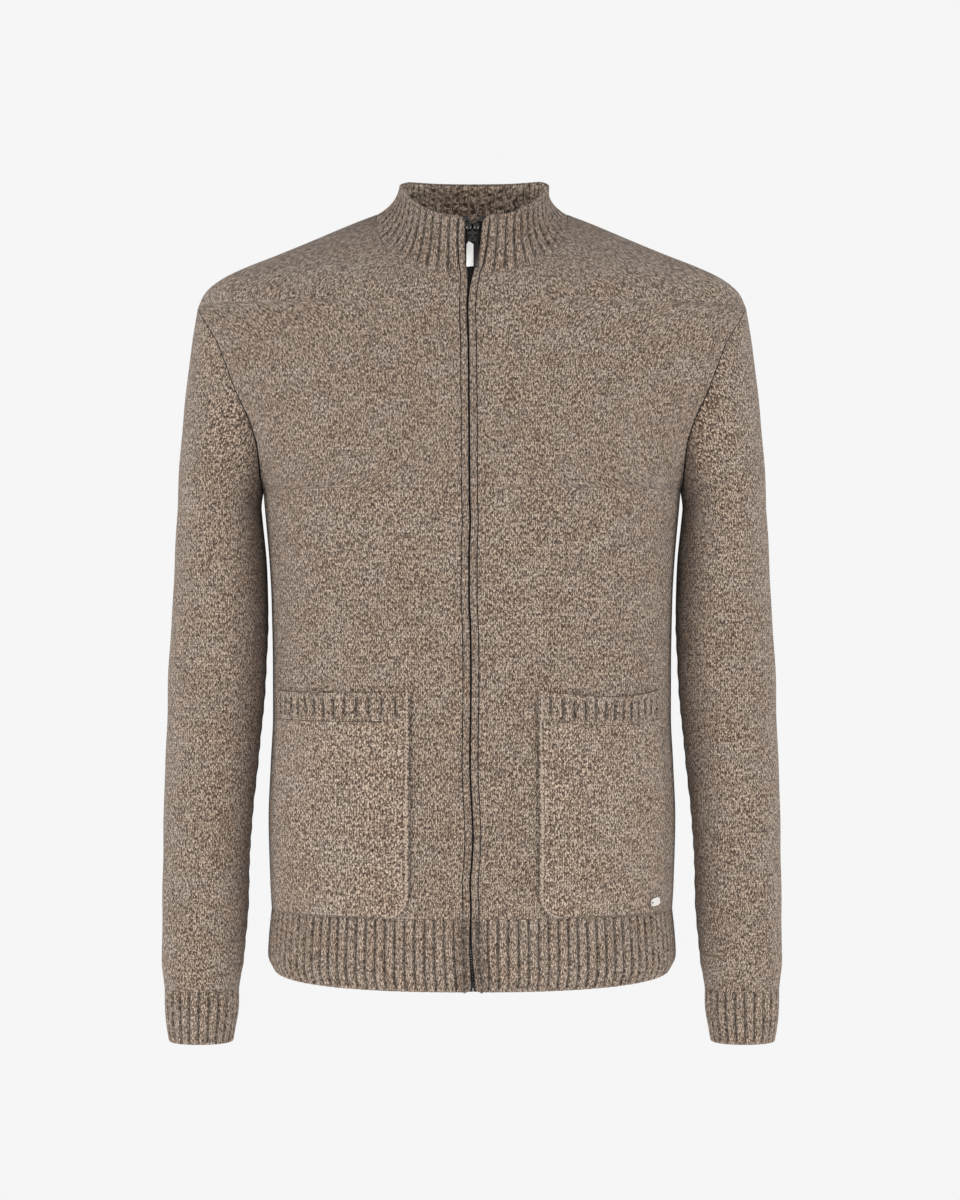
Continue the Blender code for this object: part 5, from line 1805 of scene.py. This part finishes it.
@dataclass(frozen=True)
class Zip:
    """The zip: tapes, teeth, slider and pull tab.

    Attributes:
        lows: Insets of the tape's lines from the gap, below the collar.
        highs: Insets of the same lines at the collar's top.
    """

    lows: tuple[float, ...] = (-0.0004, 0.0010, 0.0069, 0.0140)
    highs: tuple[float, ...] = (-0.0012, 0.0002, 0.0038, 0.0109)
    depth: float = 0.0040
    wall: float = 0.0010
    tape_cut: Cut = Cut(0.0142, 0.66)
    tooth: Bead = Bead((0.0027, 0.0011, 0.0017), True)
    pitch: float = 0.0022
    tooth_inset: float = 0.0004
    tooth_depth: float = 0.0034
    tooth_top_z: float = -0.0300
    tooth_foot: float = 0.0055
    box_up: float = 0.0068
    slider_top_z: float = -0.0165
    slider_foot_z: float = -0.0527
    slider_x: float = 0.0006
    lobe: Triple = (0.0034, 0.0046, 0.0030)
    lobe_x: float = 0.0032
    lobe_down: float = 0.0040
    lobe_sink: float = 0.0008
    stop: Triple = (0.0026, 0.0019, 0.0018)
    stops: Table = ((-0.0052, -0.0016, -0.0010), (0.0066, -0.0012, -0.0010))
    box: Bead = Bead((0.0085, 0.0060, 0.0024), True)

    def tape(self, side: Side, material: Material) -> Object:
        """The woven tape behind one front edge.

        Args:
            side: Which tape.
            material: Its finish.

        Returns:
            The object.
        """
        edge = FrontEdge()
        points = np.stack([edge.line(low, high, side, of_zip=True)
                           for low, high in zip(self.lows, self.highs)], axis=1)
        lengths = lengths_of(points[:, 0])
        points = points - grid_normals(points) * self.depth
        stitches = pairs(np.array(self.lows)[None] / GAUGE.wale, lengths[:, None] / GAUGE.course)
        patch = Patch(points, stitches, np.zeros(points.shape[:2]))
        return cloth_piece(f"zip_tape_cloth_{side.word}", [patch.mirrored(side)], self.wall, material,
                           (f"zip_tape_{side.word}",))

    def tooth_line(self, side: Side, start: float) -> SurfaceLine:
        """Line that one side's teeth stand on, begun a little up from the foot.

        Args:
            side: Which side.
            start: How far up it begins.

        Returns:
            The line.
        """
        edge = FrontEdge()
        near = edge.line(self.tooth_inset, self.tooth_inset - 0.0008, side, of_zip=True)
        far = edge.line(self.tooth_inset + 0.002, self.tooth_inset + 0.0012, side, of_zip=True)
        out = grid_normals(np.stack([near, far], axis=1))[:, 0]
        line = SurfaceLine(near, out).moved(self.tooth_depth)
        line = line.cut(HEM.front_z + self.tooth_foot + start, self.tooth_top_z)
        return line if side is Side.LEFT else line.mirrored()

    def teeth(self, tree: Tree, material: Material) -> Object:
        """Both rows of teeth, half a step apart."""
        run = Run("zip_teeth", self.tooth, self.pitch)
        lines = [self.tooth_line(Side.LEFT, 0.0), self.tooth_line(Side.RIGHT, self.pitch / 2)]
        return place("zip_teeth", run.mesh(tree, lines, material), material)

    def foot(self, material: Material) -> Object:
        """The block at the zip's foot that holds the two tapes.

        Args:
            material: Its finish.

        Returns:
            The object.
        """
        shape = bmesh.new()
        shape.from_mesh(self.box.mesh("zip_box"))
        line = self.tooth_line(Side.LEFT, -0.0040)
        spot = Vector((0.0, line.points[0, 1], HEM.front_z + self.box_up))
        bmesh.ops.rotate(shape, verts=shape.verts, cent=(0, 0, 0), matrix=Matrix.Rotation(HALF_PI, 3, "X"))
        bmesh.ops.translate(shape, verts=shape.verts, vec=spot)
        return place("zip_box", solid_mesh("zip_box", shape), material)

    def slider_frame(self) -> Matrix:
        """Frame of the slider: X across, Y down the zip, Z out of the cloth."""
        edge = FrontEdge()
        line = edge.line(-EDGE.collar_base_gap, -EDGE.collar_top_gap, Side.LEFT, -0.0600)
        top = np.array([np.interp(self.slider_top_z, line[:, 2], line[:, k]) for k in (1, 2)])
        foot = np.array([np.interp(self.slider_foot_z, line[:, 2], line[:, k]) for k in (1, 2)])
        down = Vector((0, *(foot - top))).normalized()
        across = Vector((1, 0, 0))
        out = across.cross(down)
        if out.y > 0:
            out = -out
        frame_of = Matrix((across, down, out)).transposed().to_4x4()
        frame_of.translation = Vector((self.slider_x, *top))
        return frame_of

    def slider(self, material: Material) -> Object:
        """The slider, with two domed shoulders.

        Args:
            material: Its finish.

        Returns:
            The object.
        """
        shape = cad_copy("zip_slider")
        where = self.slider_frame()
        for side in Side:
            dome = bmesh.ops.create_uvsphere(shape, u_segments=20, v_segments=12, radius=1.0)["verts"]
            bmesh.ops.scale(shape, vec=self.lobe, verts=dome)
            spot = (side.value * self.lobe_x, self.lobe_down, -self.lobe_sink)
            bmesh.ops.translate(shape, vec=spot, verts=dome)
            bmesh.ops.transform(shape, matrix=where, verts=dome)
        piece = place("zip_slider_body", solid_mesh("zip_slider_body", shape), material,
                      ("zip_slider",))
        soften(piece, 0.00028)
        return piece

    def top_stops(self, material: Material) -> Object:
        """The two beads at the top of the tapes, just above the slider."""
        shape = bmesh.new()
        for spot in self.stops:
            bead = bmesh.ops.create_uvsphere(shape, u_segments=14, v_segments=10, radius=1.0)["verts"]
            bmesh.ops.scale(shape, vec=self.stop, verts=bead)
            bmesh.ops.translate(shape, vec=spot, verts=bead)
        bmesh.ops.transform(shape, matrix=self.slider_frame(), verts=shape.verts)
        return place("zip_stops", solid_mesh("zip_stops", shape), material)

    def pull(self, material: Material) -> Object:
        """The pull tab: one bright facet and one with a painted dark reflection, either side of a ridge.

        Args:
            material: Its finish.

        Returns:
            The object.
        """
        shape = cad_copy("pull_tab")
        mesh = solid_mesh("zip_pull", shape)
        facet = mesh.attributes.new("facet", "FLOAT", "FACE")
        normals = np.zeros(len(mesh.polygons) * 3, dtype=np.float32)
        mesh.polygons.foreach_get("normal", normals)
        away = normals.reshape(-1, 3)
        # Faces turned left and forwards keep the bright metal; the rest get the painted dark reflection.
        bright = (away[:, 0] < -0.12) & (away[:, 1] < -0.3)
        facet.data.foreach_set("value", bright.astype(np.float32))
        piece = place("zip_pull", mesh, material, ("pull_tab",), PULL)
        soften(piece, 0.00018)
        return piece


@dataclass(frozen=True)
class Plate:
    """The small bare metal plate by the left pocket's lower outer corner."""

    x: float = 0.1520
    z: float = -0.5965
    half_width: float = 0.0058
    half_height: float = 0.0034
    thickness: float = 0.0008
    hole: float = 0.0011
    hole_x: float = -0.0040
    lift: float = 0.0058
    tilt: float = math.radians(7)

    def outline(self, bulge: float = 3.5, steps: int = 40) -> list[tuple[float, float]]:
        """Rounded outline of the plate."""
        turns = np.linspace(0, 2 * math.pi, steps, endpoint=False)
        x = self.half_width * signed_power(np.cos(turns), 2 / bulge)
        y = self.half_height * signed_power(np.sin(turns), 2 / bulge)
        return list(zip(x.tolist(), y.tolist()))

    def build(self, material: Material) -> Object:
        """The plate, with its small hole, over the pocket.

        Args:
            material: Its finish.

        Returns:
            The object.
        """
        shape = bmesh.new()
        turns = np.linspace(0, 2 * math.pi, 20, endpoint=False)
        hole = [(self.hole_x + self.hole * math.cos(t), self.hole * math.sin(t)) for t in turns]
        for loop in (self.outline(), hole):
            points = [shape.verts.new((x, y, 0.0)) for x, y in loop]
            for k, point in enumerate(points):
                shape.edges.new((points[k - 1], point))
        bmesh.ops.triangle_fill(shape, use_beauty=True, edges=list(shape.edges))
        lifted = bmesh.ops.extrude_face_region(shape, geom=list(shape.faces))["geom"]
        risen = [item for item in lifted if isinstance(item, bmesh.types.BMVert)]
        bmesh.ops.translate(shape, verts=risen, vec=(0, 0, self.thickness))
        bmesh.ops.recalc_face_normals(shape, faces=shape.faces)
        angle = float(TRUNK.angle_at(self.x, self.z))
        steps = [TRUNK.point(angle + da, self.z + dz) for da, dz in
                 ((0.004, 0.0), (-0.004, 0.0), (0.0, 0.0004), (0.0, -0.0004))]
        out = Vector(unit(np.cross(steps[0] - steps[1], steps[2] - steps[3])))
        up = (Vector((0, 0, 1)) - out * out.z).normalized()
        where = Matrix((up.cross(out), up, out)).transposed().to_4x4()
        where.translation = Vector(TRUNK.point(angle, self.z)) + out * self.lift
        bmesh.ops.transform(shape, matrix=where @ Matrix.Rotation(self.tilt, 4, "Z"), verts=shape.verts)
        piece = place("pocket_metal_plate", solid_mesh("pocket_metal_plate", shape), material,
                      ("pocket_plate",))
        soften(piece, 0.0002)
        return piece


# ------------------------------ finishes


def stitch_group() -> Tree:
    """Plain knit: V stitches in wales, with their height, gaps and one random value a leg.

    Returns:
        The group. Its Vector counts wales and courses.
    """
    n, given, sink = group(
        "plain_knit", "ShaderNodeTree",
        {"Vector": ("Vector", None), "Slant": ("Float", 1.1), "Unevenness": ("Float", 0.09)},
        {"Height": "Float", "Gap": "Float", "Leg": "Float", "Yarn": "Vector"})
    warp = n.add("ShaderNodeTexNoise", {"Vector": given["Vector"], "Scale": 0.55, "Detail": 1.5},
                 noise_dimensions="2D")
    vector = "ShaderNodeVectorMath"
    shift = n.add(vector, {0: warp.outputs["Color"], 1: (0.5, 0.5, 0.5)}, operation="SUBTRACT")
    reach = n.math("MULTIPLY", given["Unevenness"], 4.0)
    spread = n.add(vector, {0: shift, "Scale": reach}, operation="SCALE")
    moved = n.add(vector, {0: given["Vector"], 1: spread}, operation="ADD")
    parts = n.add("ShaderNodeSeparateXYZ", {0: moved}).outputs
    wale, course = parts[0], parts[1]
    aside = n.math("ABSOLUTE", n.math("SUBTRACT", n.math("FRACT", wale), 0.5))
    climbed = n.math("SUBTRACT", course, n.math("MULTIPLY", aside, given["Slant"]))
    across = n.math("ABSOLUTE", n.math("MULTIPLY", n.math("SUBTRACT", aside, 0.25), 4.0))
    along = n.math("ABSOLUTE", n.math("MULTIPLY", n.math("SUBTRACT", n.math("FRACT", climbed), 0.5), 2.0))
    round_across = n.math("SUBTRACT", 1.0, n.math("POWER", across, 2.4), clamp=True)
    round_along = n.math("SUBTRACT", 1.0, n.math("MULTIPLY", n.math("POWER", along, 3.0), 0.75), clamp=True)
    height = n.math("MULTIPLY", n.math("SQRT", round_across), round_along)
    gap = n.math("MAXIMUM", n.ramp(height, 0.05, 0.6, 1.0, 0.0), n.ramp(aside, 0.36, 0.5, 0.0, 0.75))
    combine = "ShaderNodeCombineXYZ"
    cell = n.add(combine, {0: n.math("FLOOR", n.math("MULTIPLY", wale, 2.0)), 1: n.math("FLOOR", climbed)})
    white = n.add("ShaderNodeTexWhiteNoise", {"Vector": cell}, noise_dimensions="2D")
    yarn = n.add(combine, {0: n.math("MULTIPLY", wale, 3.0), 1: n.math("MULTIPLY", climbed, 0.9)})
    n.feed(sink, {"Height": height, "Gap": gap, "Leg": white.outputs["Value"], "Yarn": yarn})
    return n.tree


def melange_group() -> Tree:
    """Blended fibre: how light the yarn is at each place, from dark fibres to pale ones.

    Returns:
        The group, whose Tone runs from 0 to 1 about a middle of one half.
    """
    n, given, sink = group(
        "melange", "ShaderNodeTree",
        {"Vector": ("Vector", None), "Yarn": ("Vector", None), "Leg": ("Float", 0.5),
         "Contrast": ("Float", 1.0)}, {"Tone": "Float", "Cloud": "Float"})
    fibre = n.noise(given["Yarn"], 1.0, 2.0, 0.7)
    fleck = n.noise(given["Vector"], 1.3, 2.0, 0.6)
    cloud = n.noise(given["Vector"], 0.09, 2.0, 0.55)
    total = 0.0
    for value, weight in ((given["Leg"], 0.62), (fibre, 5.0), (fleck, 0.30), (cloud, 0.30)):
        total = n.math("MULTIPLY_ADD", n.math("SUBTRACT", value, 0.5), weight, total)
    total = n.math("MULTIPLY", total, given["Contrast"])
    n.feed(sink, {"Tone": n.math("ADD", total, 0.5, clamp=True), "Cloud": cloud})
    return n.tree


def blank(name: str) -> tuple[Material, Nodes, Node]:
    """A new material, its nodes and its shader."""
    material = bpy.data.materials.new(name)
    material.use_nodes = True
    return material, Nodes(material.node_tree), material.node_tree.nodes["Principled BSDF"]


def object_place(n: Nodes) -> Socket:
    """Place on the object, in metres."""
    return n.add("ShaderNodeTexCoord").outputs["Object"]


@dataclass(frozen=True)
class Yarn:
    """A melange yarn knitted up: its tones, pattern and softness, with shade painted into its stitch gaps,
    grooves and seams.
    """

    name: str
    dark: Colour = (0.072, 0.046, 0.031)
    middle: Colour = (0.278, 0.206, 0.155)
    pale: Colour = (0.680, 0.535, 0.425)
    warm: Colour = (1.03, 0.99, 0.95)
    cool: Colour = (0.98, 1.0, 1.02)
    # Brightness of the three colours: the yarn's own tone, and painted light where a copy is lightened for a
    # piece that gets less light.
    tone: float = 1.0
    contrast: float = 1.0
    # Painted shade: how much darker the gaps between stitches, and the grooves and seams that `hollow` marks,
    # are made.
    gap_shade: float = 0.70
    hollow_shade: float = 0.42
    relief: float = 0.0007
    fuzz: float = 0.5
    roughness: float = 0.93
    sheen: float = 0.18

    def material(self, stitches: Tree, melange: Tree) -> Material:
        """Build the material.

        Args:
            stitches: The plain knit group.
            melange: The blended fibre group.

        Returns:
            The material.
        """
        material, n, shader = blank(self.name)
        places = n.add("ShaderNodeUVMap", uv_map="stitches")
        knit = n.add("ShaderNodeGroup", {"Vector": places}, node_tree=stitches).outputs
        fibre = n.add("ShaderNodeGroup", {
            "Vector": places, "Yarn": knit["Yarn"], "Leg": knit["Leg"], "Contrast": self.contrast},
            node_tree=melange).outputs
        dark, middle, pale = ((*(value * self.tone for value in shade), 1.0)
                              for shade in (self.dark, self.middle, self.pale))
        colour = n.blend(n.ramp(fibre["Tone"], 0.0, 0.5), dark, middle)
        colour = n.blend(n.ramp(fibre["Tone"], 0.5, 1.0), colour, pale)
        hue = n.blend(n.ramp(fibre["Cloud"], 0.35, 0.65), (*self.warm, 1.0), (*self.cool, 1.0))
        colour = n.blend(1.0, colour, hue, "MULTIPLY")
        # Painted shade: the colour is darkened in the gaps between stitch legs and where `hollow` marks
        # grooves, seams and rolled edges.
        hollow = n.add("ShaderNodeAttribute", attribute_name="hollow").outputs["Fac"]
        shade = n.math("MULTIPLY", n.ramp(knit["Gap"], 0.0, 1.0, 1.0, 1 - self.gap_shade),
                       n.ramp(hollow, 0.0, 1.0, 1.0, 1 - self.hollow_shade))
        painted_shade_grey = n.add("ShaderNodeCombineColor", {0: shade, 1: shade, 2: shade})
        fuzz = n.math("MULTIPLY", n.noise(knit["Yarn"], 2.6, 2.0, 0.6), self.fuzz)
        height = n.math("ADD", knit["Height"], fuzz)
        n.feed(shader, {"Base Color": n.blend(1.0, colour, painted_shade_grey, "MULTIPLY"),
                        "Normal": n.bump(height, self.relief, 0.85), "Roughness": self.roughness,
                        "Sheen Weight": self.sheen, "Sheen Roughness": 0.6, "Specular IOR Level": 0.2})
        return material


@dataclass(frozen=True)
class Metal:
    """A plated metal with fine handling marks, and, where a mesh marks facets, a painted dark reflection on
    its unmarked faces.
    """

    name: str
    colour: Colour
    roughness: float
    wear: float = 0.08
    glint: float = 1.12
    dark_facet: Colour | None = None

    def material(self) -> Material:
        """Build the material.

        Returns:
            The material.
        """
        material, n, shader = blank(self.name)
        where = object_place(n)
        smear = n.noise(where, 900.0, 4.0, 0.6)
        scratch = n.noise(n.stretched(where, (3000.0, 3000.0, 250.0)), 1.0, 2.0, 0.7)
        pale = tuple(min(1.0, value * self.glint) for value in self.colour)
        colour = n.blend(n.ramp(scratch, 0.35, 0.7), (*self.colour, 1.0), (*pale, 1.0))
        # Painted reflection: faces that the `facet` mask leaves out get a dark colour, for the darkness they
        # would reflect.
        if self.dark_facet:
            facet = n.add("ShaderNodeAttribute", attribute_name="facet").outputs["Fac"]
            colour = n.blend(facet, (*self.dark_facet, 1.0), colour)
        rough = n.ramp(smear, 0.3, 0.7, self.roughness, self.roughness + self.wear)
        n.feed(shader, {"Base Color": colour, "Roughness": rough, "Metallic": 1.0,
                        "Normal": n.bump(scratch, 0.00002, 0.5)})
        return material


@dataclass(frozen=True)
class Thread:
    """Pale twisted yarn of the edge stitches."""

    name: str = "pale_stitch_yarn"
    dark: Colour = (0.34, 0.26, 0.20)
    pale: Colour = (0.66, 0.54, 0.44)
    relief: float = 0.0002
    roughness: float = 0.92
    spread: tuple[float, float] = (0.3, 0.7)

    def pattern(self, n: Nodes) -> Socket:
        """How pale the surface is, from 0 to 1: fine fibres."""
        return n.noise(object_place(n), 1400.0, 3.0, 0.7)

    def material(self) -> Material:
        """Build the material.

        Returns:
            The material.
        """
        material, n, shader = blank(self.name)
        height = self.pattern(n)
        factor = n.ramp(height, *self.spread)
        n.feed(shader, {"Base Color": n.blend(factor, (*self.dark, 1.0), (*self.pale, 1.0)),
                        "Normal": n.bump(height, self.relief), "Roughness": self.roughness})
        return material


@dataclass(frozen=True)
class Weave(Thread):
    """Woven zip tape: a fine herringbone of dark threads."""

    name: str = "black_zip_tape"
    dark: Colour = (0.032, 0.021, 0.021)
    pale: Colour = (0.085, 0.060, 0.058)
    relief: float = 0.0001
    roughness: float = 0.85
    spread: tuple[float, float] = (0.0, 1.0)

    def pattern(self, n: Nodes) -> Socket:
        """How pale the surface is, from 0 to 1: slanted bands."""
        along = n.stretched(object_place(n), (1.0, 0.2, 1.0))
        weave = n.add("ShaderNodeTexWave", {"Vector": along, "Scale": 700.0, "Distortion": 1.5},
                      wave_type="BANDS", bands_direction="DIAGONAL")
        return weave.outputs["Fac"]


# ------------------------------ studio


@dataclass(frozen=True)
class Studio:
    """Pale floor, soft light and the camera."""

    camera: Triple = (0.007, -3.0, -0.3395)
    frame_height: float = 1.05
    sensor: float = 36.0
    floor_z: float = -1.25
    floor_size: float = 60.0
    backdrop: Triple = (0.92, 0.92, 0.92)
    light: float = 1.04
    top_light: float = 0.62
    left: float = 42.0
    right: float = 38.0
    lamp_spot: Triple = (2.7, -1.9, -0.60)
    lamp_size: float = 1.1
    aim: Triple = (0.0, 0.0, -0.33)

    def build(self) -> None:
        """Add the floor, the world, the lights and the camera."""
        self.add_floor()
        self.add_world()
        x, *rest = self.lamp_spot
        self.add_area("left_light", (-x, *rest), self.left)
        self.add_area("right_light", (x, *rest), self.right)
        data = bpy.data.cameras.new("camera")
        data.sensor_width = self.sensor
        data.lens = self.sensor * -self.camera[1] / self.frame_height
        data.dof.use_dof = False
        viewer = add_object("camera", data)
        viewer.location = self.camera
        viewer.rotation_euler = (HALF_PI, 0.0, 0.0)
        bpy.context.scene.camera = viewer
        bpy.context.scene.view_settings.view_transform = "Standard"

    def for_camera(self, n: Nodes, lit: Node, seen: str) -> Node:
        """Show the camera the plain backdrop, and light the scene with something else.

        Args:
            n: Nodes of the floor's material or of the world.
            lit: What lights the scene.
            seen: Type of the node that shows the backdrop.

        Returns:
            The node that mixes the two.
        """
        plain = n.add(seen, {"Color": (*self.backdrop, 1.0)})
        direct = n.add("ShaderNodeLightPath").outputs["Is Camera Ray"]
        return n.add("ShaderNodeMixShader", {0: direct, 1: lit, 2: plain})

    def add_floor(self) -> None:
        """A plain pale floor."""
        half = self.floor_size / 2
        mesh = bpy.data.meshes.new("floor")
        corners = [(-half, -half), (half, -half), (half, half), (-half, half)]
        mesh.from_pydata([(x, y, self.floor_z) for x, y in corners], [], [(0, 1, 2, 3)])
        material, n, shader = blank("pale_floor")
        n.feed(shader, {"Base Color": (0.9, 0.9, 0.9, 1.0), "Roughness": 0.9})
        either = self.for_camera(n, shader, "ShaderNodeEmission")
        n.feed(material.node_tree.nodes["Material Output"], {"Surface": either})
        mesh.materials.append(material)
        add_object("floor", mesh)

    def add_world(self) -> None:
        """Even light all round, with a pale backdrop behind the garment."""
        world = bpy.data.worlds.new("studio")
        bpy.context.scene.world = world
        world.use_nodes = True
        world.node_tree.nodes.clear()
        n = Nodes(world.node_tree)
        way = n.add("ShaderNodeTexCoord").outputs["Generated"]
        height = n.add("ShaderNodeSeparateXYZ", {0: way}).outputs["Z"]
        light = n.add("ShaderNodeBackground", {
            "Color": (1.0, 1.0, 1.0, 1.0), "Strength": n.ramp(height, -0.7, 0.7, self.light, self.top_light)})
        either = self.for_camera(n, light, "ShaderNodeBackground")
        n.add("ShaderNodeOutputWorld", {0: either})

    def add_area(self, name: str, spot: Triple, power: float) -> None:
        """A large soft light aimed at the middle of the garment.

        Args:
            name: Name of the light.
            spot: Where it stands.
            power: Its power in watts.
        """
        data = bpy.data.lights.new(name, "AREA")
        data.size = self.lamp_size
        data.energy = power
        lamp = add_object(name, data)
        lamp.location = spot
        aim = Vector(self.aim) - Vector(spot)
        lamp.rotation_euler = aim.to_track_quat("-Z", "Y").to_euler()


YARNS = (Yarn("taupe_melange_knit"),
         Yarn("taupe_melange_rib", tone=0.98, contrast=0.85, hollow_shade=0.62),
         # The hem and cuff ribs: a copy of the rib yarn lightened with painted light, for the lower light
         # that reaches them.
         Yarn("taupe_melange_low_rib", tone=1.13, contrast=0.85, hollow_shade=0.62),
         # The collar's inner face: painted light for the light bounced inside the collar, and less painted
         # shade in its gaps and grooves.
         Yarn("taupe_melange_rib_inside", tone=1.45, gap_shade=0.35, hollow_shade=0.25),
         Yarn("taupe_melange_pocket", tone=1.09, contrast=0.93, hollow_shade=0.75))
METALS = (Metal("black_nickel", (0.055, 0.052, 0.051), 0.12),
          Metal("polished_nickel", (0.97, 0.95, 0.92), 0.50),
          Metal("two_tone_nickel", (0.76, 0.75, 0.73), 0.30, dark_facet=(0.030, 0.024, 0.024)))


def main() -> None:
    """Build and dress the whole garment, piece by piece."""
    logging.basicConfig(level=logging.INFO, format="%(name)s %(message)s")
    Studio().build()
    groups = stitch_group(), melange_group()
    runs = run_tree()
    knit, ribbed, hem_cuff_rib_painted_light, collar_inside_painted_light, pocket_knit = (yarn.material(*groups) for yarn in YARNS)
    thread = Thread().material()
    woven = Weave().material()
    black, bright, reflection_painted_nickel = (metal.material() for metal in METALS)
    panels = Panels()
    panels.back(knit)
    COLLAR.build(ribbed, collar_inside_painted_light)
    HEM.build(hem_cuff_rib_painted_light)
    sleeve = Sleeve()
    for side in Side:
        panels.front(side, knit)
        sleeve.build(side, knit)
        sleeve.cuff(side, hem_cuff_rib_painted_light)
        Band().build(side, ribbed)
    for pocket in POCKETS:
        top = pocket.rib(pocket_knit)
        line = pocket.patch(pocket_knit).joined(top)
        pocket.edge_stitches(line, runs, thread)
    fastening = Zip()
    for side in Side:
        fastening.tape(side, woven)
    fastening.teeth(runs, black)
    fastening.foot(black)
    fastening.slider(black)
    fastening.top_stops(black)
    fastening.pull(reflection_painted_nickel)
    Plate().build(bright)


if __name__ == "__main__":
    main()
